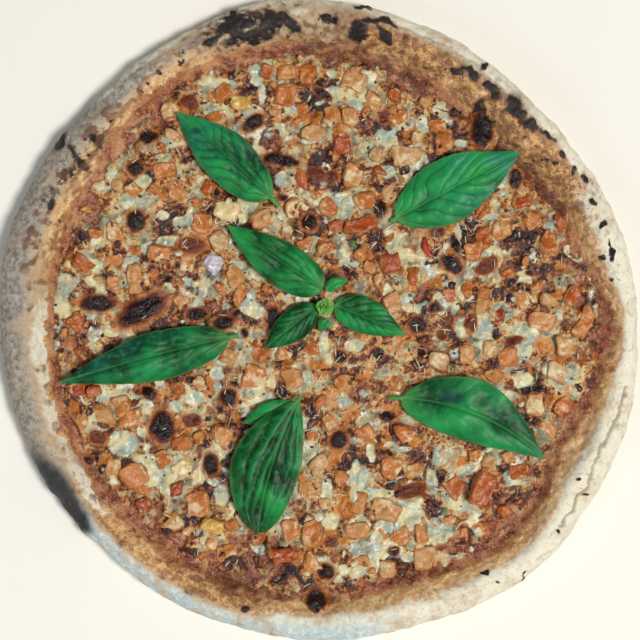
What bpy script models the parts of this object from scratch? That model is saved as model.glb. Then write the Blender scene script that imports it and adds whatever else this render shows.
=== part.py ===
"""Margherita pizza from a wood oven, 300 mm across.

A dough base with a puffed, uneven rim carries tomato sauce, melted cheese, diced tomato,
garlic, onion and fresh basil. Metres, +Z up. The flat underside rests at z = 0, with the
middle of the pizza at the origin. The tables of places and sizes are in millimetres.
"""

import math

import bpy
from mathutils import Euler, Vector

for old in list(bpy.data.objects):
    bpy.data.objects.remove(old, do_unlink=True)

MM = 0.001
GAP = 0.35 * MM  # left between pieces that touch

# Dough: a thin base, then a rim that climbs from its foot, rounds over and tucks under.
FLATS = 80  # facets around the dough, the sauce and the cheese, so that their layers stay parallel
BASE_THICKNESS = 4.0 * MM
RIM_SLOPE = 7.0 * MM  # from the foot of the rim out to the edge of the sauce
RIM_LEAST_HEIGHT = 11.0 * MM
RIM_PUFF = 0.38  # height gained for each millimetre of bare rim
RIM_WIDEST_AT = 0.44  # share of the rim's height at which it is widest
RIM_UNDERCUT = 7.0 * MM
LUMP_HEIGHT = 0.9 * MM
OUTLINE = (
    (0, 149.1), (20, 146.3), (40, 142.8), (60, 143.9), (80, 147.7), (100, 151.2),
    (120, 148.2), (140, 147.6), (165, 150.5), (190, 149.6), (210, 148.4), (240, 148.4),
    (270, 149.9), (290, 150.6), (308, 154.6), (325, 152.6), (345, 151.0),
)
SAUCE_EDGE = (
    (0, 138), (15, 128), (30, 124), (45, 118), (60, 121), (80, 127), (100, 130),
    (125, 131), (150, 127), (180, 128), (210, 131), (240, 132), (270, 133), (290, 131),
    (313, 138), (330, 130), (345, 134),
)
BUBBLE = (18.0, 132.0, 11.0, 4.0)  # a blown dough bubble: x, y, radius and height

# Layers on the dough.
SAUCE_THICKNESS = 0.9 * MM
SAUCE_GAP = 0.55 * MM  # doubled on the slope of the rim, where the facets of both layers twist
CHEESE_THICKNESS = 2.4 * MM
CHEESE_WAVE = 0.5 * MM
CHEESE_RINGS = (0.0, 0.17, 0.34, 0.5, 0.66, 0.8, 0.92, 0.985)  # shares of the cheese's radius

# Toppings stand on the highest part of the cheese.
CHEESE_BASE = BASE_THICKNESS + SAUCE_GAP + SAUCE_THICKNESS + GAP
TOPPING_LEVEL = CHEESE_BASE + CHEESE_THICKNESS + CHEESE_WAVE + GAP
DIE_HEIGHT = 6.2 * MM
DIE_EDGE = 1.3 * MM
ROUND_SIDES = 10

# Diced tomato: x, y, length, width and turn in degrees.
TOMATO_DICE = (
    (-16.0, 115.5, 10.0, 8.0, 0), (-6.5, 114.5, 7.5, 10.0, -3), (-16.5, 104.8, 10.0, 9.5, -6),
    (15.0, 112.5, 12.0, 10.0, -20), (24.0, 102.0, 9.5, 8.0, -40), (40.5, 77.0, 12.0, 10.5, -8),
    (-73.0, 70.0, 12.0, 8.0, 12), (16.0, 67.5, 9.0, 11.0, -15), (-56.0, 45.5, 9.5, 9.0, -15),
    (-47.5, 36.5, 8.5, 9.0, 35), (-111.0, 26.5, 12.0, 8.0, -40), (-86.0, 19.5, 8.5, 14.0, 6),
    (-74.0, 30.0, 11.0, 8.0, -8), (-40.5, 21.0, 9.0, 9.0, 30), (-13.5, -27.0, 10.0, 10.0, 15),
    (-30.5, -26.5, 12.0, 11.0, -10), (71.0, 31.5, 9.5, 9.0, 5), (107.0, 36.5, 8.0, 11.0, 30),
    (104.5, -1.0, 12.0, 10.5, -10), (123.5, -1.0, 8.0, 13.0, -35), (115.5, -12.0, 9.5, 9.5, 0),
    (111.5, -24.0, 12.0, 10.0, -20), (88.0, -18.5, 10.5, 10.0, 5), (99.5, -39.0, 11.0, 9.0, 5),
    (60.0, -64.0, 11.0, 10.0, 0), (62.5, -78.5, 10.0, 10.0, 45), (77.0, -79.5, 11.0, 16.0, -20),
    (-1.0, -67.5, 11.0, 8.5, 40), (30.5, -88.5, 15.0, 10.0, -20), (-13.5, -97.0, 9.5, 9.0, 20),
    (-3.5, -99.0, 8.0, 13.0, 5), (-17.0, -110.0, 11.0, 10.0, 8), (48.5, -110.5, 10.0, 12.0, 0),
    (-87.0, -72.0, 12.0, 11.5, 30), (-57.0, -85.5, 11.0, 10.0, 10), (-68.5, -94.0, 9.5, 9.5, 45),
)
YELLOW_TOMATO_DICE = (
    (-36.0, 102.5, 9.5, 7.5, 0), (-50.5, -95.5, 9.0, 7.0, -12),
)
# Round slices from the tomato's end: x, y and diameter.
TOMATO_ROUNDS = (
    (-3.0, 88.0, 11.5), (33.5, -69.0, 10.5), (39.0, -53.0, 11.0), (-87.0, -46.5, 12.5),
)
GARLIC_CLOVE = (-43.5, 51.5, 11.0, 9.0, -20)
GARLIC_SLICE = (-65.5, -70.0, 11.0)
ONION_BEAD = (-50.5, 25.5, 9.6, 8.0)  # x, y, diameter and height

# Basil leaves: the name, where the base and the tip lie, how far the midrib bows to its left,
# the half-widths to the left and right of the midrib, where along its length the leaf is
# widest, how blunt its tip is, its heights at the base, middle and tip, and its stalk's length.
LEAF_THICKNESS = 0.7 * MM
LEAF_GROOVE = 1.0 * MM
LEAF_DROOP = 2.4 * MM
STALK_HALF_WIDTH = 0.9 * MM
BASE_BLUNTNESS = 0.62
LOOSE_LEAVES = (
    ("basil_upper_left", (-19, 53), (-67, 97), -1, 13.0, 10.5, 0.42, 1.0, (10.5, 13.5, 11.0), 6),
    ("basil_upper_right", (33, 46), (93, 78), 0, 14.5, 14.5, 0.44, 1.0, (10.5, 13.5, 17.0), 3),
    ("basil_left", (-38, -7), (-122, -29.5), -1, 12.0, 10.8, 0.40, 1.1, (11.0, 14.5, 12.5), 5),
    ("basil_bottom", (-9, -35), (-29, -99), -3, 13.0, 18.5, 0.55, 0.55, (13.5, 16.0, 12.5), 3),
    ("basil_bottom_lobe", (-13, -37.5), (-36, -48), 1, 4.5, 5.0, 0.45, 1.0, (10.5, 12.0, 10.5), 2),
    ("basil_lower_right", (32, -36.5), (105, -65), 8, 15.0, 14.0, 0.43, 1.0, (10.5, 13.5, 11.5), 6),
)
SPRIG_LEAVES = (
    ("basil_sprig_left", (1, 14.5), (-43, 44), 0, 11.5, 9.8, 0.36, 0.9, (14.0, 15.5, 14.0), 0),
    ("basil_sprig_right", (7, 7), (40, -7), 0, 9.5, 7.5, 0.38, 1.0, (13.0, 13.5, 11.0), 0),
    ("basil_sprig_lower", (-1.5, 6.5), (-26, -13.5), 0, 7.3, 7.2, 0.42, 1.0, (11.0, 12.5, 11.0), 0),
)
SPRIG_BUDS = (
    ("basil_bud_upper", (3, 14), (13, 18.5), 1, 2.8, 2.8, 0.4, 1.0, (16.5, 17.0, 14.5), 0),
    ("basil_bud_lower", (3.5, 0.5), (-0.5, -5), 0, 2.8, 2.8, 0.4, 1.0, (12.5, 12.5, 10.5), 0),
)
BUD_CLUSTER = (2.5, 6.0, 5.6, 6.5, 14.8)  # x, y, radius, height and the height of its base
BUD_LOBES = 5

collection = bpy.data.collections.new("margherita_pizza")
bpy.context.scene.collection.children.link(collection)


def painted(obj, colour, roughness):
    """Gives a piece its own material and moves it to the pizza's collection."""
    material = bpy.data.materials.new(obj.name)
    material.use_nodes = True
    shader = material.node_tree.nodes["Principled BSDF"]
    shader.inputs["Base Color"].default_value = (*colour, 1.0)
    shader.inputs["Roughness"].default_value = roughness
    shader.inputs["Metallic"].default_value = 0.0
    obj.data.materials.append(material)
    for holder in list(obj.users_collection):
        holder.objects.unlink(obj)
    collection.objects.link(obj)
    return obj


def activate(obj):
    bpy.ops.object.select_all(action="DESELECT")
    bpy.context.view_layer.objects.active = obj
    obj.select_set(True)


def smoothed(obj, degrees):
    """Shades a piece smooth, with creases where its faces meet at more than this angle."""
    activate(obj)
    bpy.ops.object.shade_smooth_by_angle(angle=math.radians(degrees))


def around(knots, angle):
    """Value at an angle in degrees on a smooth closed ring through (angle, value) knots."""
    count = len(knots)
    angle %= 360.0
    after = next((i for i, knot in enumerate(knots) if knot[0] > angle), count)
    near = [
        (knots[k % count][0] + 360.0 * (k // count), knots[k % count][1])
        for k in range(after - 2, after + 2)
    ]
    (a0, v0), (a1, v1), (a2, v2), (a3, v3) = near
    span = a2 - a1
    t = (angle - a1) / span
    leave = (v2 - v0) / (a2 - a0) * span
    arrive = (v3 - v1) / (a3 - a1) * span
    return (
        v1 * (2 * t**3 - 3 * t**2 + 1)
        + leave * (t**3 - 2 * t**2 + t)
        + v2 * (3 * t**2 - 2 * t**3)
        + arrive * (t**3 - t**2)
    )


def blown(radius, height, turn):
    """How far the dough bubble lifts a point of the rim, fading out towards the base."""
    x, y, reach, rise = BUBBLE
    away = math.hypot(radius / MM * math.cos(turn) - x, radius / MM * math.sin(turn) - y) / reach
    share = min(1.0, max(0.0, 0.5 * (height / BASE_THICKNESS - 1.0)))
    return rise * MM * share * math.exp(-(away**2))


def dough_section(angle):
    """Section of the dough at an angle, as (radius, height) from the top centre out and under."""
    outer = around(OUTLINE, angle) * MM
    edge = around(SAUCE_EDGE, angle) * MM
    foot = edge - RIM_SLOPE
    crest = edge + 0.48 * (outer - edge)
    turn = math.radians(angle)
    lumps = math.sin(9 * turn + 0.7) + 0.7 * math.sin(17 * turn + 2.1)
    height = RIM_LEAST_HEIGHT + RIM_PUFF * (outer - edge) + LUMP_HEIGHT * lumps
    widest = RIM_WIDEST_AT * height
    section = [(0.0, BASE_THICKNESS), (0.5 * foot, BASE_THICKNESS), (foot, BASE_THICKNESS)]
    for radius in (foot + 0.5 * RIM_SLOPE, edge, 0.5 * (edge + crest), crest):
        share = (radius - foot) / (crest - foot)
        climb = 0.5 - 0.5 * math.cos(math.pi * share)
        section.append((radius, BASE_THICKNESS + (height - BASE_THICKNESS) * climb))
    for degrees in (32, 62, 90):
        over = math.radians(degrees)
        radius = crest + (outer - crest) * math.sin(over)
        section.append((radius, widest + (height - widest) * math.cos(over)))
    for degrees in (35, 65, 90):
        under = math.radians(degrees)
        radius = outer - RIM_UNDERCUT * (1 - math.cos(under))
        section.append((radius, widest * (1 - math.sin(under))))
    section.append((0.5 * foot, 0.0))
    section.append((0.0, 0.0))
    return [(radius, height + blown(radius, height, turn)) for radius, height in section]


def sauce_section(angle):
    """Section of the sauce: it follows the dough out to the fifth point and back beneath."""
    dough = dough_section(angle)[:5]
    gaps = [SAUCE_GAP] * 3 + [2 * SAUCE_GAP] * 2
    thicknesses = [SAUCE_THICKNESS] * 4 + [0.6 * SAUCE_THICKNESS]
    beneath = [(r, z + gap) for (r, z), gap in zip(dough, gaps)]
    top = [(r, z + thickness) for (r, z), thickness in zip(beneath, thicknesses)]
    return top + beneath[::-1]


def cheese_section(angle):
    """Section of the cheese: a waved top, a rounded uneven edge and a flat bottom."""
    turn = math.radians(angle)
    foot = around(SAUCE_EDGE, angle) * MM - RIM_SLOPE
    creep = 0.6 + 0.4 * math.sin(7 * turn) * math.sin(4 * turn + 1.3)
    reach = foot - 3.0 * MM * creep
    section = []
    for share in CHEESE_RINGS:
        x = share * reach * math.cos(turn)
        y = share * reach * math.sin(turn)
        wave = math.sin(x / (9 * MM) + 1.0) * math.cos(y / (11 * MM))
        thin = 0.3 * MM if share > 0.95 else 0.0
        section.append((share * reach, CHEESE_BASE + CHEESE_THICKNESS + CHEESE_WAVE * wave - thin))
    section.append((reach, CHEESE_BASE + 0.45 * CHEESE_THICKNESS))
    section.append((reach - 1.0 * MM, CHEESE_BASE))
    section.append((0.0, CHEESE_BASE))
    return section


def turned(name, section_at, colour, roughness):
    """A body turned by Screw from its section at angle 0, then shaped to each angle's section."""
    profile = section_at(0.0)
    mesh = bpy.data.meshes.new(name)
    corners = [(r, 0.0, z) for r, z in profile]
    mesh.from_pydata(corners, [(k, k + 1) for k in range(len(profile) - 1)], [])
    obj = bpy.data.objects.new(name, mesh)
    bpy.context.scene.collection.objects.link(obj)
    screw = obj.modifiers.new("Screw", "SCREW")
    screw.steps = FLATS
    screw.render_steps = FLATS
    screw.use_merge_vertices = True
    screw.merge_threshold = 0.00005
    activate(obj)
    bpy.ops.object.modifier_apply(modifier=screw.name)
    for vertex in obj.data.vertices:
        radius = math.hypot(vertex.co.x, vertex.co.y)
        angle = math.degrees(math.atan2(vertex.co.y, vertex.co.x)) if radius > 1e-6 else 0.0
        station = min(
            range(len(profile)),
            key=lambda k: math.hypot(radius - profile[k][0], vertex.co.z - profile[k][1]),
        )
        radius, height = section_at(angle)[station]
        turn = math.radians(angle)
        vertex.co = (radius * math.cos(turn), radius * math.sin(turn), height)
    return painted(obj, colour, roughness)


# The dough, from its base up over the rim.
crust = turned("crust", dough_section, (0.62, 0.40, 0.20), 0.85)
smoothed(crust, 50)

# The sauce lies on the dough, the cheese on the sauce.
sauce = turned("tomato_sauce", sauce_section, (0.30, 0.035, 0.015), 0.4)
smoothed(sauce, 50)
cheese = turned("cheese", cheese_section, (0.80, 0.62, 0.36), 0.4)
smoothed(cheese, 50)


def stood(obj, x, y, size, turn, tilt):
    """Stands a box-like topping on the cheese at its turn and tilt, on its lowest corner."""
    rotation = Euler((tilt[0], tilt[1], math.radians(turn)))
    down = rotation.to_matrix()[2]
    reach = sum(abs(part) * side / 2 for part, side in zip(down, size))
    obj.rotation_euler = rotation
    obj.location = (x * MM, y * MM, TOPPING_LEVEL + reach)


def diced(name, place, number, colour):
    """A knife-cut die with its edges softened by the oven, a little tilted."""
    x, y, length, width, turn = place
    size = (length * MM, width * MM, DIE_HEIGHT * (1 + 0.12 * math.sin(1.9 * number)))
    bpy.ops.mesh.primitive_cube_add(size=1.0)
    die = bpy.context.object
    die.name = name
    die.data.name = name
    die.scale = size
    bpy.ops.object.transform_apply(location=False, rotation=False, scale=True)
    edge = die.modifiers.new("Soft edges", "BEVEL")
    edge.width = DIE_EDGE
    edge.segments = 1
    tilt = (0.07 * math.sin(2.4 * number), 0.07 * math.cos(3.7 * number))
    stood(die, x, y, size, turn, tilt)
    smoothed(die, 60)
    return painted(die, colour, 0.25)


def rounded(name, place, height, number, colour):
    """A round slice with a softened rim, lying a little tilted."""
    x, y, diameter = place
    bpy.ops.mesh.primitive_cylinder_add(
        vertices=ROUND_SIDES, radius=diameter / 2 * MM, depth=height
    )
    piece = bpy.context.object
    piece.name = name
    piece.data.name = name
    edge = piece.modifiers.new("Soft rims", "BEVEL")
    edge.width = DIE_EDGE
    edge.segments = 1
    edge.limit_method = "ANGLE"
    edge.angle_limit = math.radians(50)
    tilt = (0.05 * math.sin(2.4 * number), 0.05 * math.cos(3.7 * number))
    stood(piece, x, y, (diameter * MM, diameter * MM, height), 9 * number, tilt)
    smoothed(piece, 60)
    return painted(piece, colour, 0.25)


# Diced and sliced tomato, red and yellow.
for number, place in enumerate(TOMATO_DICE, 1):
    diced(f"tomato_die_{number:02d}", place, number, (0.62, 0.20, 0.08))
for number, place in enumerate(YELLOW_TOMATO_DICE, 1):
    diced(f"yellow_tomato_die_{number}", place, number, (0.66, 0.48, 0.14))
for number, place in enumerate(TOMATO_ROUNDS, 1):
    rounded(f"tomato_round_{number}", place, DIE_HEIGHT, number, (0.66, 0.26, 0.10))

# Garlic, a whole clove and a slice, and one onion bead.
diced("garlic_clove", GARLIC_CLOVE, 2, (0.72, 0.60, 0.36))
rounded("garlic_slice", GARLIC_SLICE, 0.8 * DIE_HEIGHT, 2, (0.72, 0.60, 0.36))
bpy.ops.mesh.primitive_uv_sphere_add(segments=10, ring_count=6, radius=0.5)
bead = bpy.context.object
bead.name = "onion_bead"
bead.data.name = "onion_bead"
bead.scale = (ONION_BEAD[2] * MM, ONION_BEAD[2] * MM, ONION_BEAD[3] * MM)
bpy.ops.object.transform_apply(location=False, rotation=False, scale=True)
bead.location = (ONION_BEAD[0] * MM, ONION_BEAD[1] * MM, TOPPING_LEVEL + ONION_BEAD[3] / 2 * MM)
bpy.ops.object.shade_smooth()
painted(bead, (0.62, 0.56, 0.66), 0.2)


def leaf_breadth(share, widest, blunt):
    """Half-width of a leaf at a share of its blade's length, as a share of the greatest."""
    power = math.log(0.5) / math.log(widest)
    taper = blunt if share > widest else BASE_BLUNTNESS
    return math.sin(math.pi * share**power) ** taper


def leaf(place, lengthwise, across, colour):
    """A basil leaf: two bulging halves beside a sunken midrib, drooping to its margins."""
    name, base, tip, bow, left, right, widest, blunt, heights, stalk = place
    bpy.ops.mesh.primitive_grid_add(x_subdivisions=lengthwise, y_subdivisions=across, size=2)
    obj = bpy.context.object
    obj.name = name
    obj.data.name = name
    start = Vector(base) * MM
    run = Vector(tip) * MM - start
    side = Vector((-run.y, run.x)).normalized()
    stalk_share = stalk * MM / run.length
    for vertex in obj.data.vertices:
        along = (vertex.co.x + 1) / 2
        over = vertex.co.y
        if stalk:
            first = 1.0 / lengthwise
            if along <= first + 1e-6:
                along *= stalk_share / first
            else:
                along = stalk_share + (along - first) / (1 - first) * (1 - stalk_share)
        blade = max(0.0, (along - stalk_share) / (1 - stalk_share))
        breadth = leaf_breadth(min(max(blade, 0.0), 1.0), widest, blunt)
        half = max((left if over > 0 else right) * MM * breadth, STALK_HALF_WIDTH)
        if along > 0.999:
            half = 0.5 * STALK_HALF_WIDTH
        centre = start + run * along + side * (bow * MM * 4 * along * (1 - along))
        spot = centre + side * (over * half)
        bulge = LEAF_GROOVE * breadth * 4 * abs(over) * (1 - abs(over))
        droop = LEAF_DROOP * breadth * over**2
        shares = ((1 - along) * (1 - 2 * along), 4 * along * (1 - along), along * (2 * along - 1))
        height = sum(share * level * MM for share, level in zip(shares, heights))
        vertex.co = (spot.x, spot.y, height + bulge - droop)
    shell = obj.modifiers.new("Blade thickness", "SOLIDIFY")
    shell.thickness = LEAF_THICKNESS
    shell.offset = 0.0
    bpy.ops.object.shade_smooth()
    return painted(obj, colour, 0.35)


# Fresh basil: loose leaves, then the sprig in the middle with its folded bud.
for place in LOOSE_LEAVES:
    leaf(place, 10, 4, (0.03, 0.20, 0.05))
for place in SPRIG_LEAVES:
    leaf(place, 8, 4, (0.03, 0.20, 0.05))
for place in SPRIG_BUDS:
    leaf(place, 5, 2, (0.07, 0.28, 0.06))
bpy.ops.mesh.primitive_uv_sphere_add(segments=15, ring_count=5, radius=1.0)
bud = bpy.context.object
bud.name = "basil_bud_cluster"
bud.data.name = "basil_bud_cluster"
for vertex in bud.data.vertices:
    lobe = 1 + 0.12 * math.cos(BUD_LOBES * math.atan2(vertex.co.y, vertex.co.x))
    radius = BUD_CLUSTER[2] * MM * lobe
    vertex.co.x *= radius
    vertex.co.y *= radius
    vertex.co.z *= BUD_CLUSTER[3] / 2 * MM
bud.location = (BUD_CLUSTER[0] * MM, BUD_CLUSTER[1] * MM, (BUD_CLUSTER[4] + BUD_CLUSTER[3] / 2) * MM)
bpy.ops.object.shade_smooth()
painted(bud, (0.16, 0.38, 0.07), 0.4)
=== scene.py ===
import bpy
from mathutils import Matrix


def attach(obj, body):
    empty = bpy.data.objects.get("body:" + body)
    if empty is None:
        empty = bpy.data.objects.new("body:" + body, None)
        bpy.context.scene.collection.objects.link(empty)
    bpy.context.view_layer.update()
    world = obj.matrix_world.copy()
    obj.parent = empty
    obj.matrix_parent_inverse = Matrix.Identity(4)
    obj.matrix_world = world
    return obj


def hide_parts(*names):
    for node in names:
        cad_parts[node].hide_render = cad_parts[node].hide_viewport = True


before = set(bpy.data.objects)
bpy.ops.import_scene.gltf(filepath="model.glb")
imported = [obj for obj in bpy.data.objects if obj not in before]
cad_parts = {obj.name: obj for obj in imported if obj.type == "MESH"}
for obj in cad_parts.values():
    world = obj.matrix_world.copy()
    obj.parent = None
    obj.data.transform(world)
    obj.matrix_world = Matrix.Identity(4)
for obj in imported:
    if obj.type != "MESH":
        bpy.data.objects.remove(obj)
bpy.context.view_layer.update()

import contextlib
import math

import bpy
import numpy as np
from mathutils import Euler, Vector
from mathutils.bvhtree import BVHTree

# ---------------------------------------------------------------------------------------
# Dough. One disc of wheat dough, pressed flat in the middle and left puffed at its rim,
# dusted with flour and baked on a hot stone floor, which blows bubbles and burns their tops.
MM = 0.001
BASE = 4.0           # thickness of the base, millimetres
RIM_FOOT = 7.0       # from the foot of the rim out to the edge of the sauce
RIM_TUCK = 7.0       # how far the rim rolls in beneath itself
ROUND = 1200         # places around the rim
CREST = 0.48         # where the rim is highest, from the sauce to the outer edge
RIM_LEAST = 11.0     # height of the crest of a rim with no width
RIM_GAIN = 0.38      # how much higher the crest is for each millimetre of width
BULGE = 0.44         # where the wall stands out most, as a share of the crest's height
MERGED = 0.02 * MM   # points closer than this become one
OUTER_EDGE = (
    (0, 149.1), (20, 146.3), (40, 142.8), (60, 143.9), (80, 147.7), (100, 151.2),
    (120, 148.2), (140, 147.6), (165, 150.5), (190, 149.6), (210, 148.4), (240, 148.4),
    (270, 149.9), (290, 150.6), (308, 154.6), (325, 152.6), (345, 151.0),
)
SAUCE_EDGE = (
    (0, 138), (15, 128), (30, 124), (45, 118), (60, 121), (80, 127), (100, 130),
    (125, 131), (150, 127), (180, 128), (210, 131), (240, 132), (270, 133), (290, 131),
    (313, 138), (330, 130), (345, 134),
)
BLOWN_BUBBLE = (18.0, 132.0, 11.0, 4.0)   # x, y, reach and height


def smooth(value, low=0.0, high=1.0):
    """Rises softly from 0 at low to 1 at high."""
    share = np.clip((value - low) / (high - low), 0.0, 1.0)
    return share * share * (3 - 2 * share)


def around(knots, angle):
    """Value at angles in degrees on a smooth closed ring through (angle, value) knots."""
    turns = np.array([k[0] for k in knots], float)
    values = np.array([k[1] for k in knots], float)
    count = len(knots)
    angle = np.asarray(angle, float) % 360.0
    after = np.searchsorted(turns, angle, side="right")
    near = [after + k for k in (-2, -1, 0, 1)]
    a0, a1, a2, a3 = (turns[k % count] + 360.0 * (k // count) for k in near)
    v0, v1, v2, v3 = (values[k % count] for k in near)
    span = a2 - a1
    t = (angle - a1) / span
    leave = (v2 - v0) / (a2 - a0) * span
    arrive = (v3 - v1) / (a3 - a1) * span
    return (
        v1 * (2 * t**3 - 3 * t**2 + 1) + leave * (t**3 - 2 * t**2 + t)
        + v2 * (3 * t**2 - 2 * t**3) + arrive * (t**3 - t**2)
    )


def lumps(places, size, seed, octaves=3):
    """Soft random heights of about -1 to 1 at places in millimetres, with lumps of that size."""
    places = np.asarray(places, float)
    if places.shape[1] == 2:
        places = np.column_stack([places, np.zeros(len(places))])
    twist = np.array(Euler((0.9, 0.5, 0.7)).to_matrix())
    at = places / size
    total = np.zeros(len(places))
    strength, whole = 1.0, 0.0
    for octave in range(octaves):
        at = at @ twist.T + 11.7 * (octave + 1)
        cell = np.floor(at).astype(np.int64)
        part = at - cell
        part = part * part * (3 - 2 * part)
        for corner in range(8):
            step = np.array([corner & 1, corner >> 1 & 1, corner >> 2 & 1])
            spot = cell + step
            key = (spot[:, 0] * 73856093) ^ (spot[:, 1] * 19349663) ^ (spot[:, 2] * 83492791)
            key = (key ^ (seed * 2654435 + octave * 97561)) & 0x7FFFFFFF
            key = ((key ^ (key >> 13)) * 1274126177) & 0x7FFFFFFF
            key = key ^ (key >> 15)
            level = (key & 0xFFFF) / 32767.5 - 1.0
            total += strength * level * np.where(step, part, 1 - part).prod(axis=1)
        whole += strength
        strength *= 0.5
        at = at * 2.0
    return np.clip(1.9 * total / whole, -1.3, 1.3)


def in_spot(places, spot, soft=0.3):
    """How far places lie in an oval spot (x, y, length, width, turn): 1 inside, 0 outside."""
    x, y, length, width = spot[:4]
    turn = math.radians(spot[4]) if len(spot) > 4 else 0.0
    dx, dy = places[:, 0] - x, places[:, 1] - y
    along = (dx * math.cos(turn) + dy * math.sin(turn)) / (length / 2)
    over = (dy * math.cos(turn) - dx * math.sin(turn)) / (width / 2)
    away = np.hypot(along, over)
    return 1 - smooth(away, 1 - soft, 1 + soft), away


def in_spots(places, spots, soft=0.3):
    """The most that places lie in any of several oval spots."""
    most = np.zeros(len(places))
    for spot in spots:
        most = np.maximum(most, in_spot(places, spot, soft)[0])
    return most


def on_line(places, points, width):
    """How near places lie to a line through points: 1 on it, fading to 0 at its half-width."""
    best = np.full(len(places), 1e9)
    for (x0, y0), (x1, y1) in zip(points[:-1], points[1:]):
        run = np.array([x1 - x0, y1 - y0])
        rel = places[:, :2] - (x0, y0)
        share = np.clip(rel @ run / (run @ run), 0, 1)
        best = np.minimum(best, np.hypot(*(rel - share[:, None] * run).T))
    return 1 - smooth(best, 0.2 * width, 0.5 * width)


def alone(obj):
    """Makes a piece the only one that is selected, and the active one."""
    bpy.ops.object.select_all(action="DESELECT")
    obj.select_set(True)
    bpy.context.view_layer.objects.active = obj


@contextlib.contextmanager
def editing(obj, choice=None):
    """Holds one piece in edit mode, first with all of it selected or deselected if so told."""
    alone(obj)
    bpy.ops.object.mode_set(mode="EDIT")
    if choice:
        bpy.ops.mesh.select_all(action=choice)
    yield
    bpy.ops.object.mode_set(mode="OBJECT")


def started(primitive, **sizes):
    """Adds a primitive to make a piece from, as the only one that is selected."""
    bpy.ops.object.select_all(action="DESELECT")
    primitive(**sizes)
    return bpy.context.object


def sheet_of(name, across, along):
    """A new grid piece, with the share of each of its points across and along, 0 to 1."""
    grid = bpy.ops.mesh.primitive_grid_add
    obj = started(grid, x_subdivisions=across, y_subdivisions=along, size=2)
    obj.name = name
    obj.data.name = name
    flat = points_of(obj)
    return obj, (flat[:, 0] + 1) / 2, (flat[:, 1] + 1) / 2


def points_of(obj):
    """The places of a piece's points."""
    points = np.empty(len(obj.data.vertices) * 3)
    obj.data.vertices.foreach_get("co", points)
    return points.reshape(-1, 3)


def put_points(obj, points):
    """Moves a piece's points to places in metres."""
    obj.data.vertices.foreach_set("co", np.ascontiguousarray(points, float).ravel())
    obj.data.update()


def note(obj, **marks):
    """Writes what is known at each point of a piece, such as how burnt it is, for its finish."""
    for name, values in marks.items():
        mark = obj.data.attributes.new(name, "FLOAT", "POINT")
        mark.data.foreach_set("value", np.asarray(values, np.float32))


def closed(obj):
    """Merges the seams and poles of a piece and turns its faces outwards."""
    with editing(obj, "SELECT"):
        bpy.ops.mesh.remove_doubles(threshold=MERGED)
        bpy.ops.mesh.normals_make_consistent(inside=False)
    bpy.ops.object.shade_smooth()


def modified(obj, kind, **settings):
    """Puts one modifier on a piece and applies it."""
    alone(obj)
    modifier = obj.modifiers.new(kind.title(), kind)
    for setting, value in settings.items():
        setattr(modifier, setting, value)
    bpy.ops.object.modifier_apply(modifier=modifier.name)


def hue(red, green, blue):
    """A screen colour of 0 to 255 as a linear one."""
    part = [c / 255 for c in (red, green, blue)]
    return (*[c / 12.92 if c <= 0.04045 else ((c + 0.055) / 1.055) ** 2.4 for c in part], 1.0)


class Wire:
    """A socket in a finish, on which sums can be done as on a number."""

    def __init__(self, finish, socket):
        self.finish, self.socket = finish, socket

    def sum(self, operation, *values):
        inlets = dict(enumerate(values))
        return self.finish.node("ShaderNodeMath", {"operation": operation}, inlets, 0)

    def __add__(self, other):
        return self.sum("ADD", self, other)

    def __sub__(self, other):
        return self.sum("SUBTRACT", self, other)

    def __rsub__(self, other):
        return self.sum("SUBTRACT", other, self)

    def __mul__(self, other):
        return self.sum("MULTIPLY", self, other)

    __radd__ = __add__
    __rmul__ = __mul__

    def rise(self, low, high):
        """Rises softly from 0 at low to 1 at high."""
        inlets = {"Value": self, "From Min": low, "From Max": high}
        settings = {"interpolation_type": "SMOOTHSTEP"}
        return self.finish.node("ShaderNodeMapRange", settings, inlets, "Result")


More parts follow.
